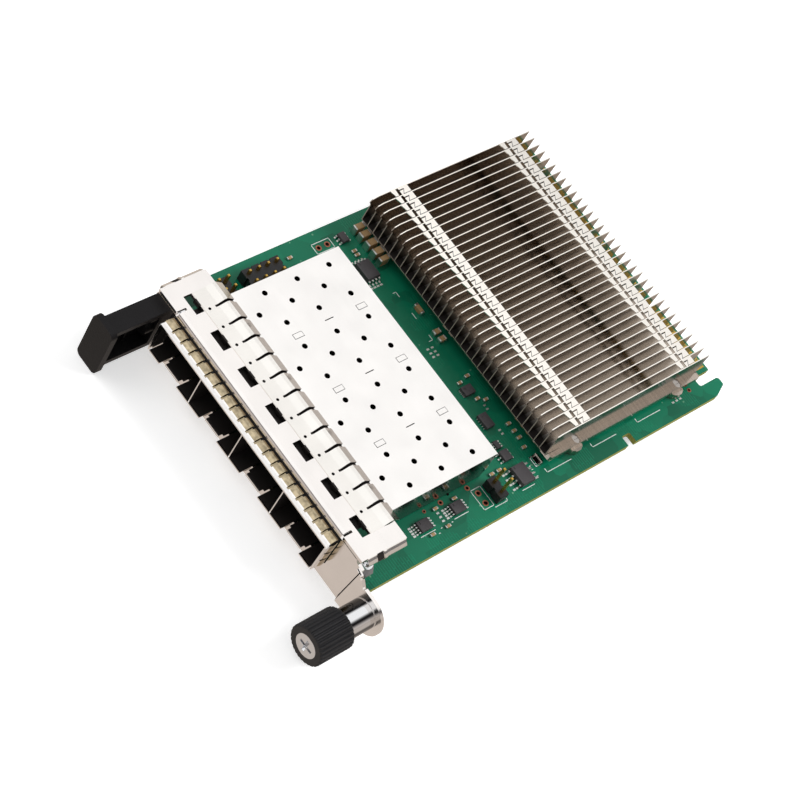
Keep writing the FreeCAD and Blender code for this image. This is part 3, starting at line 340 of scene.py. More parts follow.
def inside(tree, spans):
    """1 where place and facing lie in all of a region's ranges, and 0 elsewhere."""
    at, way = places(tree)
    masks = []
    for key, (low, high) in spans.items():
        value = (way if "face" in key else at)[key[-1].upper()]
        if key.startswith("abs"):
            value = calc(tree, "ABSOLUTE", value)
        masks.append(within(tree, value, low, high))
    return both(tree, *masks)


def either(tree, *masks):
    """1 where at least one of the masks is 1."""
    found = masks[0]
    for mask in masks[1:]:
        found = calc(tree, "MAXIMUM", found, mask)
    return found


def retinted(tree, shader, mask, tint):
    """Another base colour where a mask is 1, over what the shader has."""
    base = shader.inputs["Base Color"]
    tree.links.new(mix(tree, mask, base.links[0].from_socket, tint), base)


def painted_unlit(tree, shader, mask, tint):
    """Painted shade where a mask is 1, over what the shader has: dark, dull and not metallic."""
    retinted(tree, shader, mask, tint)
    tree.links.new(calc(tree, "SUBTRACT", 1.0, mask), shader.inputs["Metallic"])
    rough = shader.inputs["Roughness"]
    before = rough.links[0].from_socket if rough.links else rough.default_value
    dull = calc(tree, "MULTIPLY", mask, DULL_ROUGHNESS)
    tree.links.new(calc(tree, "MAXIMUM", before, dull), rough)


# Materials


def solder_mask():
    """Glass laminate board, screen-coated with green lacquer: a glossy skin with faint copper
    tracks under it, and matt yellowish cut edges."""
    material, tree, shader = fresh("solder_mask_on_glass_laminate")
    paint = colours()
    # Copper planes under the lacquer, about 9 mm across, make it a little lighter or darker
    planes = add(tree, "ShaderNodeTexVoronoi", {"Vector": place(tree, 0.11), "Scale": 1.0},
                 distance="MANHATTAN")
    plane_tone = ramp(tree, add(tree, "ShaderNodeSeparateColor", {
        "Color": planes.outputs["Color"]}).outputs["Red"], [
        (0.0, shade(paint.mask, 0.72)), (0.5, rgba(paint.mask)), (1.0, shade(paint.mask, 1.18))])
    # Tracks 0.09 mm wide at a 0.62 mm pitch, in about half of the places
    lines = add(tree, "ShaderNodeTexBrick", {
        "Vector": place(tree), "Scale": 1.0, "Mortar Size": 0.09, "Brick Width": 7.3,
        "Row Height": 0.62, "Color1": (0, 0, 0, 1), "Color2": (0, 0, 0, 1),
        "Mortar": (1, 1, 1, 1)}, offset=0.37)
    patch = noise(tree, 0.09, 1.0)
    show = calc(tree, "MULTIPLY", lines.outputs["Fac"],
                spread(tree, calc(tree, "GREATER_THAN", patch.outputs["Fac"], 0.53), 0.0, 0.5))
    skin = mix(tree, show, plane_tone, shade(paint.mask, 1.75))
    # Plated holes under the lacquer: small pale dots, one every 3 mm or so
    holes = add(tree, "ShaderNodeTexVoronoi", {"Vector": place(tree, 0.33), "Scale": 1.0},
                voronoi_dimensions="3D")
    dot = calc(tree, "LESS_THAN", holes.outputs["Distance"], 0.075)
    skin = mix(tree, calc(tree, "MULTIPLY", dot, 0.55), skin, rgba(paint.covered_hole))
    # Little light falls below the top flange
    skin = mix(tree, inside(tree, BOARD_BELOW_FLANGE), skin, shade(paint.mask, 0.12))
    skin = mix(tree, inside(tree, BOARD_CORNER), skin, shade(paint.mask, 0.35))
    facing = add(tree, "ShaderNodeSeparateXYZ", {
        "Vector": add(tree, "ShaderNodeNewGeometry").outputs["Normal"]})
    flat = calc(tree, "GREATER_THAN", calc(tree, "ABSOLUTE", facing.outputs["Z"]), 0.7)
    # The cut edge shows layers of laminate, 0.4 mm from one to the next
    layers = calc(tree, "PINGPONG", places(tree)[0]["Z"], 0.2)
    edge = mix(tree, calc(tree, "MULTIPLY", layers, 3.0), rgba(paint.laminate),
               shade(paint.laminate, 0.6))
    # Drilled holes are copper-lined and let no light in
    edge = mix(tree, inside(tree, DRILLED_HOLES), edge, rgba(paint.drilled))
    tree.links.new(mix(tree, flat, edge, skin), shader.inputs["Base Color"])
    tree.links.new(spread(tree, flat, 0.75, 0.3), shader.inputs["Roughness"])
    set_shader(shader, IOR=1.36)
    relief(tree, shader, show, 0.00003)
    return material


def plated_sheet(name, tint, rough, drawn):
    """Cold-rolled sheet, cut and folded, then bright plated: close to a mirror, with faint
    rolling lines along one way."""
    material, tree, shader = fresh(name)
    rolling = noise(tree, 2.2, 4.0, drawn)
    cloud = noise(tree, 0.12, 2.0)
    tree.links.new(ramp(tree, cloud.outputs["Fac"], [
        (0.3, shade(tint, 0.93)), (0.7, rgba(tint))]), shader.inputs["Base Color"])
    tree.links.new(spread(tree, rolling.outputs["Fac"], rough * 0.75, rough * 1.3),
                   shader.inputs["Roughness"])
    set_shader(shader, Metallic=1.0)
    relief(tree, shader, rolling.outputs["Fac"], 0.0000015)
    return material, tree, shader


def nickel_sheet():
    """Plated sheet of the cage. Inside the ports, below the flange and in the cuts of the roof
    it is dull and near black, as no light reaches in."""
    material, tree, shader = plated_sheet("nickel_plated_steel_sheet", colours().nickel, 0.15,
                                          (0.05, 1.0, 1.0))
    # The long walls mirror the crowded board, and the roof's front the springs above it
    retinted(tree, shader, inside(tree, LONG_WALLS), shade(colours().nickel, 0.22))
    retinted(tree, shader, inside(tree, ROOF_BELOW_SPRINGS), shade(colours().alloy, 0.6))
    dark = [inside(tree, spans) for spans in (
        PORTS, PORT_CEILINGS, ROOF_BELOW_FLANGE, ROOF_CUTS, NOSE_SIDES)]
    painted_unlit(tree, shader, either(tree, *dark), rgba(colours().unlit))
    return material


def stainless_plate():
    """Polished plate, with painted shade in its windows, below its finger strip and along the
    bend line of the ear. The foot on the board lies in the shade of the wing, painted darker."""
    material, tree, shader = plated_sheet("polished_stainless_steel", colours().stainless, 0.16,
                                          (0.03, 1.0, 1.0))
    retinted(tree, shader, inside(tree, PLATE_FOOT), shade(colours().stainless, 0.2))
    dark = [inside(tree, spans) for spans in (PLATE_WINDOWS, PLATE_BELOW_STRIP, EAR_BEND)]
    painted_unlit(tree, shader, either(tree, *dark), rgba(colours().unlit))
    return material


def finger_strip():
    """Bright plated spring strip, with painted shade on its underside, in its slits, at its
    bends and on the hooks that hold it in the windows."""
    material, tree, shader = plated_sheet("nickel_plated_beryllium_copper", colours().strip, 0.2,
                                          (1.0, 0.05, 1.0))
    dark = [inside(tree, spans) for spans in (
        STRIP_UNDERSIDE, STRIP_SLITS, STRIP_HOOKS, STRIP_BENDS)]
    painted_unlit(tree, shader, either(tree, *dark), rgba(colours().unlit))
    return material


def spring_alloy():
    """Bare spring alloy, straw-coloured and stained, with a bright plated rim in front."""
    material, tree, shader = plated_sheet("bare_beryllium_copper", colours().alloy, 0.3,
                                          (1.0, 0.3, 1.0))
    stain = noise(tree, 0.9, 3.0)
    tone = ramp(tree, stain.outputs["Fac"], [
        (0.35, shade(colours().alloy, 0.55)), (0.62, rgba(colours().alloy))])
    tree.links.new(mix(tree, inside(tree, SPRING_RIM), tone, rgba(colours().nickel)),
                   shader.inputs["Base Color"])
    return material


def turned_steel():
    """Free-cutting steel, turned on a lathe and zinc plated: fine rings round its axis. The
    sleeve mirrors dark and bright parts of the room in bands along its axis."""
    material, tree, shader = fresh("zinc_plated_turned_steel")
    rings = noise(tree, 4.0, 2.0, (0.02, 1.0, 0.02))
    tree.links.new(spread(tree, rings.outputs["Fac"], 0.05, 0.14), shader.inputs["Roughness"])
    set_shader(shader, Metallic=1.0)
    relief(tree, shader, rings.outputs["Fac"], 0.000001)
    steel = colours().steel
    across = spread(tree, places(tree)[1]["X"], 0.0, 1.0, -1.0, 1.0)
    bands = ramp(tree, across, [
        (0.38, shade(steel, 0.1)), (0.45, rgba(steel)), (0.64, rgba(steel)),
        (0.7, shade(steel, 0.16)), (0.78, shade(steel, 0.16)), (0.85, rgba(steel)),
        (0.94, shade(steel, 0.9)), (0.97, shade(steel, 0.12))])
    tree.links.new(mix(tree, inside(tree, SLEEVE), rgba(steel), bands),
                   shader.inputs["Base Color"])
    return material


def fin_stock():
    """Thin copper-alloy fin stock, bright plated: the flats are close to mirrors, so the light
    between two fins turns brown from face to face, and the sheared edges stay pale."""
    material, tree, shader = fresh("plated_copper_alloy_fins")
    paint = colours()
    at = places(tree)[0]
    facing = add(tree, "ShaderNodeSeparateXYZ", {
        "Vector": add(tree, "ShaderNodeNewGeometry").outputs["Normal"]})
    streak = noise(tree, 0.5, 3.0, (1.0, 0.15, 1.0))
    side = ramp(tree, streak.outputs["Fac"], [
        (0.25, shade(paint.fin_side, 0.86)), (0.75, shade(paint.fin_side, 1.08))])
    # The upper half of the last fin's outer face mirrors the shaded board
    outer = both(tree, inside(tree, LAST_FIN), spread(tree, at["Z"], 0.0, 1.0, *LAST_FIN_RISE))
    side = mix(tree, outer, side, rgba(paint.fin_outside))
    sheared = calc(tree, "LESS_THAN", calc(tree, "ABSOLUTE", facing.outputs["X"]), 0.5)
    tree.links.new(mix(tree, sheared, side, rgba(paint.fin_edge)), shader.inputs["Base Color"])
    tree.links.new(spread(tree, sheared, 0.14, 0.12), shader.inputs["Roughness"])
    relief(tree, shader, streak.outputs["Fac"], 0.000004)
    # Painted shade: dull, darker sheared edges in front, and feet that are dark in front and
    # bright further in
    front = inside(tree, FIN_FRONTS)
    feet = both(tree, inside(tree, FIN_FEET), spread(tree, at["Y"], 1.0, 0.0, *FIN_FEET_FADE))
    tint = mix(tree, front, rgba(paint.unlit), rgba(paint.fin_front))
    painted_unlit(tree, shader, either(tree, feet, front), tint)
    return material


def base_block():
    """Milled block under the fins with the same plating, satin from fine milling lines, and
    painted dark as shade on its top between the fins."""
    material, tree, shader = fresh("plated_milled_block")
    lines = noise(tree, 2.5, 2.0, (0.04, 1.0, 1.0))
    tone = colours().block
    tree.links.new(ramp(tree, lines.outputs["Fac"], [
        (0.3, shade(tone, 0.85)), (0.7, shade(tone, 1.1))]), shader.inputs["Base Color"])
    set_shader(shader, Metallic=1.0, Roughness=0.2)
    relief(tree, shader, lines.outputs["Fac"], 0.000002)
    painted_unlit(tree, shader, inside(tree, BLOCK_TOP), rgba(colours().unlit))
    return material


def plated_gold():
    """Hard gold over nickel: smooth and satin."""
    material, tree, shader = fresh("hard_gold_plating")
    cloud = noise(tree, 1.5, 2.0)
    tree.links.new(spread(tree, cloud.outputs["Fac"], 0.2, 0.36), shader.inputs["Roughness"])
    set_shader(shader, Metallic=1.0, Base_Color=rgba(colours().gold))
    return material


def bare_copper():
    """Copper land with a clear organic finish: pinkish and satin, a little stained."""
    material, tree, shader = fresh("bare_copper_land")
    stain = noise(tree, 3.0, 2.0)
    tone = colours().copper
    tree.links.new(ramp(tree, stain.outputs["Fac"], [
        (0.3, shade(tone, 0.75)), (0.7, rgba(tone))]), shader.inputs["Base Color"])
    set_shader(shader, Metallic=0.8, Roughness=0.38)
    return material


def reflowed_tin():
    """Tin alloy that has melted and set: bright with soft grains of about 0.2 mm."""
    material, tree, shader = fresh("reflowed_tin_solder")
    grains = noise(tree, 4.0, 2.0)
    tree.links.new(spread(tree, grains.outputs["Fac"], 0.22, 0.45), shader.inputs["Roughness"])
    set_shader(shader, Metallic=1.0, Base_Color=rgba(colours().tin))
    relief(tree, shader, grains.outputs["Fac"], 0.00002)
    return material


def moulded(name, tint, rough, grain_per_mm, depth, index=1.5):
    """Moulded or cast piece with the fine grain of its mould: matt, with faint clouds."""
    material, tree, shader = fresh(name)
    grain = noise(tree, grain_per_mm, 3.0)
    cloud = noise(tree, 0.25, 2.0)
    tree.links.new(ramp(tree, cloud.outputs["Fac"], [
        (0.3, shade(tint, 0.88)), (0.7, shade(tint, 1.1))]), shader.inputs["Base Color"])
    tree.links.new(spread(tree, grain.outputs["Fac"], rough - 0.07, rough + 0.1),
                   shader.inputs["Roughness"])
    set_shader(shader, IOR=index)
    relief(tree, shader, grain.outputs["Fac"], depth)
    return material


def nylon():
    """Black nylon with short glass fibres, moulded: matt, with a dull sheen."""
    return moulded("glass_filled_nylon", colours().nylon, 0.5, 3.0, 0.00004, 1.33)


def header_plastic():
    """Black liquid crystal polymer, moulded in thin walls: satin."""
    return moulded("liquid_crystal_polymer", colours().housing, 0.4, 4.0, 0.00002)


def chip_epoxy():
    """Grey-black epoxy filled with quartz powder, moulded round the chip: fine and matt."""
    return moulded("moulded_chip_epoxy", colours().moulding, 0.5, 6.0, 0.00002)


def knob_plastic():
    """Black nylon, moulded round the screw's head: matt."""
    return moulded("black_moulded_knob", colours().knob, 0.55, 2.5, 0.00002)


def fired_ceramic():
    """Tan barium titanate ceramic, fired in blocks: smooth with faint clouds."""
    return moulded("fired_capacitor_ceramic", colours().ceramic, 0.38, 2.0, 0.00002)


def package_laminate():
    """Thin green laminate that carries the main chip: smooth."""
    return moulded("package_laminate", colours().package, 0.4, 2.0, 0.00001)


def film_plastic():
    """Black polycarbonate film, rolled with a fine velvet face."""
    return moulded("black_polycarbonate_film", colours().film, 0.45, 1.5, 0.00002)


def gap_pad():
    """Grey silicone filled with ceramic powder, cast in sheets: soft and matt."""
    return moulded("silicone_gap_pad", colours().gap_pad, 0.7, 2.0, 0.00003)


def printed_ink():
    """Screen-printed epoxy ink: matt white, a little thin where it crosses tracks."""
    material, tree, shader = fresh("screen_printed_ink")
    thin = noise(tree, 2.0, 2.0)
    tone = colours().print_ink
    tree.links.new(ramp(tree, thin.outputs["Fac"], [
        (0.25, shade(tone, 0.8)), (0.6, rgba(tone))]), shader.inputs["Base Color"])
    set_shader(shader, Roughness=0.6)
    return material


FINISH = {
    "board_laminate": solder_mask,
    "gold_plating": plated_gold,
    "bare_copper": bare_copper,
    "solder": reflowed_tin,
    "nickel_sheet": nickel_sheet,
    "faceplate_steel": stainless_plate,
    "spring_steel": finger_strip,
    "spring_alloy": spring_alloy,
    "black_nylon": nylon,
    "connector_black": header_plastic,
    "chip_black": chip_epoxy,
    "bronze_fins": fin_stock,
    "base_copper": base_block,
    "knurled_black": knob_plastic,
    "bright_steel": turned_steel,
    "tan_ceramic": fired_ceramic,
    "grey_pad": gap_pad,
    "clear_film": film_plastic,
    "green_laminate": package_laminate,
    "print_ink": printed_ink,
}
ready = {}


def finish_of(slot):
    """The material of a slot, made the first time that it is asked for."""
    if slot not in ready:
        ready[slot] = FINISH[slot]()
    return ready[slot]


def wear(piece, slot):
    """Gives a piece the material of a slot alone."""
    piece.data.materials.clear()
    piece.data.materials.append(finish_of(slot))


def slot_of(node):
    """Material slot of a CAD node."""
    for entry in frame["record"]["subparts"]:
        if entry["node"] == node:
            return entry["material_slot"]
    raise RuntimeError("no slot for " + node)


def body_of(node):
    """Body that a CAD node belongs to."""
    for name, nodes in frame["record"]["behaviour"]["bodies"].items():
        if node in nodes:
            return name
    raise RuntimeError("no body for " + node)


# Modelling


def alone(piece):
    """Selects one object and makes it active."""
    bpy.ops.object.select_all(action="DESELECT")
    piece.select_set(True)
    bpy.context.view_layer.objects.active = piece


def settle(piece):
    """Writes an object's place, turn and size into its mesh."""
    alone(piece)
    bpy.ops.object.transform_apply(location=True, rotation=True, scale=True)


def apply(piece, kind, **settings):
    """Adds a modifier and applies it."""
    alone(piece)
    modifier = piece.modifiers.new(kind.lower(), kind)
    for key, value in settings.items():
        setattr(modifier, key, value)
    bpy.ops.object.modifier_apply(modifier=modifier.name)


def smooth(piece):
    """Shades smooth across all but the sharp edges."""
    alone(piece)
    bpy.ops.object.shade_smooth_by_angle(angle=SMOOTH_ANGLE)


def block(name, low, high):
    """A box between two corners in metres, as the start of a piece."""
    bpy.ops.object.select_all(action="DESELECT")
    middle = (Vector(low) + Vector(high)) / 2
    bpy.ops.mesh.primitive_cube_add(size=1, location=middle)
    piece = bpy.context.object
    piece.name = name
    piece.scale = Vector(high) - Vector(low)
    settle(piece)
    return piece


def joined(pieces, name):
    """One object made of several."""
    bpy.ops.object.select_all(action="DESELECT")
    for piece in pieces:
        piece.select_set(True)
    bpy.context.view_layer.objects.active = pieces[0]
    bpy.ops.object.join()
    pieces[0].name = name
    pieces[0].data.name = name
    return pieces[0]


def loose_copy(node):
    """Linked copy of a CAD node with a mesh of its own, in edit mode and welded."""
    source = frame["nodes"][node]
    piece = source.copy()
    piece.data = source.data.copy()
    bpy.context.scene.collection.objects.link(piece)
    alone(piece)
    bpy.ops.object.mode_set(mode="EDIT")
    bpy.ops.mesh.select_all(action="SELECT")
    bpy.ops.mesh.remove_doubles(threshold=WELD)
    return piece


def eased(node, name, width, segments=2, angle=35):
    """Copy of a CAD solid with its sharp edges rounded, shown in the solid's place."""
    piece = loose_copy(node)
    piece.name = name
    piece.hide_render = False
    bpy.ops.mesh.dissolve_limited(angle_limit=math.radians(1.0))
    bpy.ops.object.mode_set(mode="OBJECT")
    apply(piece, "BEVEL", width=width, segments=segments, limit_method="ANGLE",
          angle_limit=math.radians(angle), use_clamp_overlap=True, harden_normals=False)
    smooth(piece)
    apply(piece, "WEIGHTED_NORMAL", keep_sharp=True, weight=100)
    wear(piece, slot_of(node))
    return seat(piece, slot_of(node), body_of(node), node)


def seat(piece, slot, body, *nodes):
    """Puts a finished piece on its body, in place of CAD solids where some are named."""
    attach(piece, body)
    if nodes:
        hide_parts(*nodes)
    return piece


class CARD_OT_surfaces(bpy.types.Operator):
    """Give every CAD solid its finish"""
    bl_idname = "card.surfaces"
    bl_label = "Surfaces"

    def execute(self, context):
        for name, node in frame["nodes"].items():
            wear(node, slot_of(name))
        return {"FINISHED"}


class CARD_OT_pull_tab(bpy.types.Operator):
    """Round the moulded edges of the pull tab"""
    bl_idname = "card.pull_tab"
    bl_label = "Pull tab"

    def execute(self, context):
        eased("pull_tab", "moulded_pull_tab", sizes().mould_ease, 3)
        return {"FINISHED"}


def solid_boxes(node):
    """Lowest and highest corner of each loose solid of a CAD node."""
    loose_copy(node)
    bpy.ops.mesh.separate(type="LOOSE")
    bpy.ops.object.mode_set(mode="OBJECT")
    boxes = []
    for part in bpy.context.selected_objects:
        corners = [part.matrix_world @ vertex.co for vertex in part.data.vertices]
        boxes.append((Vector([min(p[i] for p in corners) for i in range(3)]),
                      Vector([max(p[i] for p in corners) for i in range(3)])))
    bpy.ops.object.delete()
    return boxes


def pit_at(chip, x, y, top):
    """Shallow round pit in a chip's top, as the mould leaves it by the first lead."""
    bpy.ops.object.select_all(action="DESELECT")
    bpy.ops.mesh.primitive_cylinder_add(vertices=24, radius=sizes().dimple,
                                        depth=sizes().dimple_tool, location=(x, y, top))
    tool = bpy.context.object
    settle(tool)
    apply(chip, "BOOLEAN", operation="DIFFERENCE", solver="EXACT", object=tool)
    bpy.data.objects.remove(tool)


class CARD_OT_chips(bpy.types.Operator):
    """Soften the edges of the moulded chips, headers and capacitors"""
    bl_idname = "card.chips"
    bl_label = "Chips and headers"

    def execute(self, context):
        size = sizes()
        inset = size.dimple_inset
        for node in ("large_driver_chips", "small_driver_chips", "flat_chips"):
            spots = solid_boxes(node)
            chips = eased(node, "moulded_" + node, size.chip_ease)
            for low, high in spots:
                pit_at(chips, low.x + inset, low.y + inset, high.z)
        for node in ("corner_chips", "header_bases", "tan_capacitors", "small_parts",
                     "crystal_can"):
            eased(node, "moulded_" + node, size.chip_ease)
        for node in ("capacitor_ends", "small_part_ends"):
            eased(node, "dipped_" + node, size.end_ease)
        return {"FINISHED"}


def pick(piece, wanted):
    """Selects the vertices that a test on their place accepts, and goes into edit mode."""
    alone(piece)
    bpy.ops.object.mode_set(mode="EDIT")
    bpy.ops.mesh.select_mode(type="VERT")
    bpy.ops.mesh.select_all(action="DESELECT")
    bpy.ops.object.mode_set(mode="OBJECT")
    for vertex in piece.data.vertices:
        vertex.select = wanted(vertex.co)
    bpy.ops.object.mode_set(mode="EDIT")


class CARD_OT_screw(bpy.types.Operator):
    """Turn the screw's end down to its core and wind a thread on it"""
    bl_idname = "card.screw"
    bl_label = "Screw"

    def execute(self, context):
        size = sizes()
        low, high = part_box("thumbscrew_screw")
        axis = Vector(((low.x + high.x) / 2, 0, (low.z + high.z) / 2))
        screw = eased("thumbscrew_screw", "turned_screw", size.screw_ease, 1, 50)
        start = high.y - size.thread_long
        outer = size.thread_radius
        pick(screw, lambda spot: spot.y > start)
        share = (outer - size.thread_depth) / outer
        bpy.ops.transform.resize(value=(share, 1, share), center_override=axis)
        bpy.ops.object.mode_set(mode="OBJECT")
        # Three-sided profile beside the axis, 1.5 radii deep, wound into a ridge
        bpy.ops.object.select_all(action="DESELECT")
        reach = size.thread_depth / 1.5
        bpy.ops.mesh.primitive_circle_add(vertices=3, radius=reach,
                                          rotation=(0, 0, -math.pi / 2),
                                          location=(outer - reach, 0, 0))
        ridge = context.object
        settle(ridge)
        apply(ridge, "SCREW", axis="Y", angle=THREAD_TURNS * 2 * math.pi,
              steps=THREAD_STEPS, render_steps=THREAD_STEPS,
              screw_offset=THREAD_TURNS * size.thread_pitch, use_merge_vertices=True)
        alone(ridge)
        bpy.ops.object.mode_set(mode="EDIT")
        bpy.ops.mesh.select_all(action="SELECT")
        bpy.ops.mesh.fill_holes(sides=0)
        bpy.ops.mesh.normals_make_consistent(inside=False)
        bpy.ops.object.mode_set(mode="OBJECT")
        ridge.location = axis + Vector((0, start + size.thread_pitch * THREAD_LEAD, 0))
        settle(ridge)
        ridge.name = "wound_thread"
        smooth(ridge)
        wear(ridge, "bright_steel")
        seat(ridge, "bright_steel", body_of("thumbscrew_screw"))
        return {"FINISHED"}


class CARD_OT_knob(bpy.types.Operator):
    """Round the ribs of the thumbscrew's knob and the rim of its sleeve"""
    bl_idname = "card.knob"
    bl_label = "Knob and sleeve"

    def execute(self, context):
        eased("thumbscrew_knob", "ribbed_knob", sizes().turned_ease, 2, 25)
        eased("thumbscrew_sleeve", "turned_sleeve", sizes().turned_ease)
        return {"FINISHED"}


def printed_line(start, end):
    """One straight printed stroke between two points on the board, in millimetres."""
    size = sizes()
    half = size.print_width / 2
    first = Vector((start[0] * MM, start[1] * MM, 0))
    last = Vector((end[0] * MM, end[1] * MM, 0))
    run = last - first
    piece = block("stroke", (-half, -half, 0), (run.length + half, half, size.print_thick))
    piece.rotation_euler[2] = math.atan2(run.y, run.x)
    piece.location = first
    settle(piece)
    return piece


def printed_path(points, closed=False):
    """Strokes from point to point, and back to the first if closed."""
    ends = points[1:] + (points[:1] if closed else [])
    starts = points if closed else points[:-1]
    return [printed_line(a, b) for a, b in zip(starts, ends)]


def rectangle(x0, x1, y0, y1):
    """Corners of an upright rectangle."""
    return [(x0, y0), (x1, y0), (x1, y1), (x0, y1)]


class CARD_OT_board_print(bpy.types.Operator):
    """Print the plain outlines round the parts on the board"""
    bl_idname = "card.board_print"
    bl_label = "Printed outlines"

    def execute(self, context):
        strokes = []
        for corners in PRINT_FRAMES:
            strokes += printed_path(rectangle(*corners), True)
        for points in PRINT_STROKES:
            strokes += printed_path(points)
        for x, y in PRINT_DOTS:
            strokes.append(printed_line((x, y - DOT_HALF), (x, y + DOT_HALF)))
        piece = joined(strokes, "printed_outlines")
        wear(piece, "print_ink")
        seat(piece, "solder", "card")
        return {"FINISHED"}


# Stage


# Camera as solved from the photo: place in metres, and its axes
CAMERA_PLACE = (0.131923, -0.267384, 0.398431)
CAMERA_RIGHT = (0.587836, 0.720682, 0.367514)
CAMERA_UP = (-0.771234, 0.362093, 0.523533)
CAMERA_BACK = (0.244226, -0.591191, 0.768666)
# Focal length and sensor in millimetres, and the nearest thing seen in metres
CAMERA_LENS = 110.93
CAMERA_SENSOR = 36.0
CAMERA_NEAR = 0.01

# Lamps: name, place in metres, side in metres and power in watts
LAMPS = (("key_lamp", (0.45, 0.85, 0.75), 0.6, 12.0), ("fill_lamp", (-0.7, -0.3, 0.8), 0.9, 3.0))
LAMP_TARGET = (0.0, 0.05, 0.0)

# Paper's glow to the camera, and the two strengths of the sky
PAPER_GLOW = 0.52
SOFT_SKY = 0.5
MIRRORED_SKY = 1.11
# What polished metal mirrors, from the horizon (0) to straight above (1)
ROOM_STOPS = ((0.0, "#b5aaa2"), (0.3, "#c6beb8"), (0.46, "#aaa4a2"), (0.53, "#454145"),
              (0.63, "#454145"), (0.71, "#fbfaf9"), (1.0, "#ffffff"))
# Floor's side and its distance below the card, in metres
FLOOR_SIDE = 6.0
FLOOR_DROP = 0.0001
# Bounces of light, in all and between mirrors
BOUNCES = 16
MIRROR_BOUNCES = 12


def studio_floor():
    """Plain white paper. It shows the shadow to the eye, and polished faces that look down
    see it as the dim, warm table of a studio."""
    material, tree, shader = fresh("white_paper_floor")
    set_shader(shader, Base_Color=(0.8, 0.8, 0.8, 1.0), Roughness=0.9)
    path = add(tree, "ShaderNodeLightPath")
    glow = add(tree, "ShaderNodeEmission", {
        "Strength": calc(tree, "MULTIPLY", path.outputs["Is Camera Ray"], PAPER_GLOW)})
    paper = add(tree, "ShaderNodeAddShader", {0: shader.outputs["BSDF"],
                                              1: glow.outputs["Emission"]})
    table = add(tree, "ShaderNodeEmission", {"Color": rgba(colours().table), "Strength": 1.0})
    seen = add(tree, "ShaderNodeMixShader", {
        0: path.outputs["Is Glossy Ray"], 1: paper.outputs["Shader"],
        2: table.outputs["Emission"]})
    output = [n for n in tree.nodes if n.type == "OUTPUT_MATERIAL"][0]
    tree.links.new(seen.outputs["Shader"], output.inputs["Surface"])
    return material


def studio_sky(tree):
    """Even white light for rough surfaces. Polished ones mirror a broad soft box overhead, a
    dark band below it and a dim warm room at eye level."""
    where = add(tree, "ShaderNodeTexCoord")
    rise = add(tree, "ShaderNodeSeparateXYZ", {"Vector": where.outputs["Generated"]})
    room = ramp(tree, rise.outputs["Z"], [(at, rgba(linear(code))) for at, code in ROOM_STOPS])
    soft = add(tree, "ShaderNodeBackground", {
        "Color": (1.0, 1.0, 1.0, 1.0), "Strength": SOFT_SKY})
    mirrored = add(tree, "ShaderNodeBackground", {"Color": room, "Strength": MIRRORED_SKY})
    path = add(tree, "ShaderNodeLightPath")
    sky = add(tree, "ShaderNodeMixShader", {
        0: path.outputs["Is Glossy Ray"], 1: soft.outputs["Background"],
        2: mirrored.outputs["Background"]})
    add(tree, "ShaderNodeOutputWorld", {"Surface": sky.outputs["Shader"]})


def lamp(name, place_at, size, power):
    """Soft square lamp that points at the middle of the card."""
    data = bpy.data.lights.new(name, "AREA")
    data.size = size
    data.energy = power
    piece = bpy.data.objects.new(name, data)
    piece.location = place_at
    way = Vector(LAMP_TARGET) - Vector(place_at)
    piece.rotation_euler = way.to_track_quat("-Z", "Y").to_euler()
    # Polished metal mirrors the room alone
    piece.visible_glossy = False
    bpy.context.scene.collection.objects.link(piece)


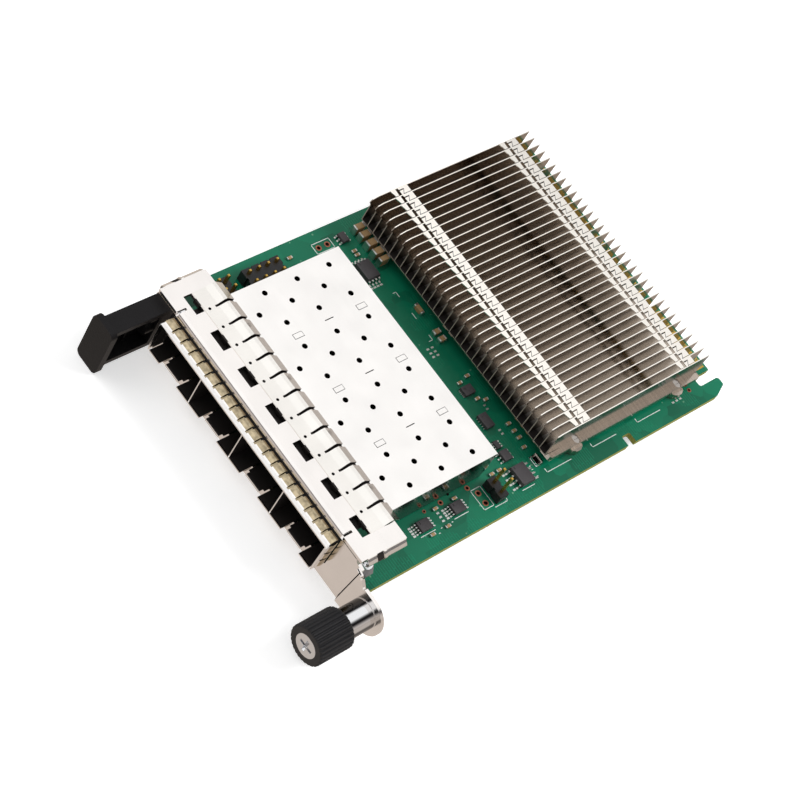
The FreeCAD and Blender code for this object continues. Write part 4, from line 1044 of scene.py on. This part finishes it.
class CARD_OT_stage(bpy.types.Operator):
    """Set up the floor, the lamps, the world and the camera"""
    bl_idname = "card.stage"
    bl_label = "Stage"

    def execute(self, context):
        scene = context.scene
        bpy.ops.object.select_all(action="DESELECT")
        bpy.ops.mesh.primitive_plane_add(size=FLOOR_SIDE,
                                         location=(0, 0, cad_box[0][2] - FLOOR_DROP))
        floor = context.object
        floor.name = "paper_floor"
        settle(floor)
        floor.data.materials.append(studio_floor())
        world = bpy.data.worlds.new("studio")
        scene.world = world
        world.use_nodes = True
        tree = world.node_tree
        tree.nodes.clear()
        studio_sky(tree)
        for values in LAMPS:
            lamp(*values)
        data = bpy.data.cameras.new("camera")
        data.sensor_width = CAMERA_SENSOR
        data.lens = CAMERA_LENS
        data.clip_start = CAMERA_NEAR
        camera = bpy.data.objects.new("camera", data)
        scene.collection.objects.link(camera)
        turn = Matrix((CAMERA_RIGHT, CAMERA_UP, CAMERA_BACK)).transposed()
        camera.matrix_world = Matrix.Translation(CAMERA_PLACE) @ turn.to_4x4()
        scene.camera = camera
        scene.view_settings.view_transform = "Standard"
        scene.cycles.max_bounces = BOUNCES
        scene.cycles.glossy_bounces = MIRROR_BOUNCES
        return {"FINISHED"}


OPERATORS = (
    CARD_OT_surfaces,
    CARD_OT_pull_tab,
    CARD_OT_chips,
    CARD_OT_knob,
    CARD_OT_screw,
    CARD_OT_board_print,
    CARD_OT_stage,
)


class CARD_PT_panel(bpy.types.Panel):
    """Lists the steps that finish the card"""
    bl_label = "Network card"
    bl_idname = "CARD_PT_panel"
    bl_space_type = "VIEW_3D"
    bl_region_type = "UI"
    bl_category = "Card"

    def draw(self, context):
        for kind in OPERATORS:
            self.layout.operator(kind.bl_idname)
        for group in (context.scene.card_sizes, context.scene.card_colours):
            for name in group.__annotations__:
                self.layout.prop(group, name)


CLASSES = (CardColours, CardSizes) + OPERATORS + (CARD_PT_panel,)


def register():
    """Adds the card's classes and settings to Blender."""
    for kind in CLASSES:
        bpy.utils.register_class(kind)
    bpy.types.Scene.card_colours = PointerProperty(type=CardColours)
    bpy.types.Scene.card_sizes = PointerProperty(type=CardSizes)


def unregister():
    """Takes them out again."""
    del bpy.types.Scene.card_colours
    del bpy.types.Scene.card_sizes
    for kind in reversed(CLASSES):
        bpy.utils.unregister_class(kind)


def main():
    """Dresses the card and sets up the stage."""
    register()
    bpy.ops.card.surfaces()
    bpy.ops.card.pull_tab()
    bpy.ops.card.chips()
    bpy.ops.card.knob()
    bpy.ops.card.screw()
    bpy.ops.card.board_print()
    bpy.ops.card.stage()


if __name__ == "__main__":
    main()
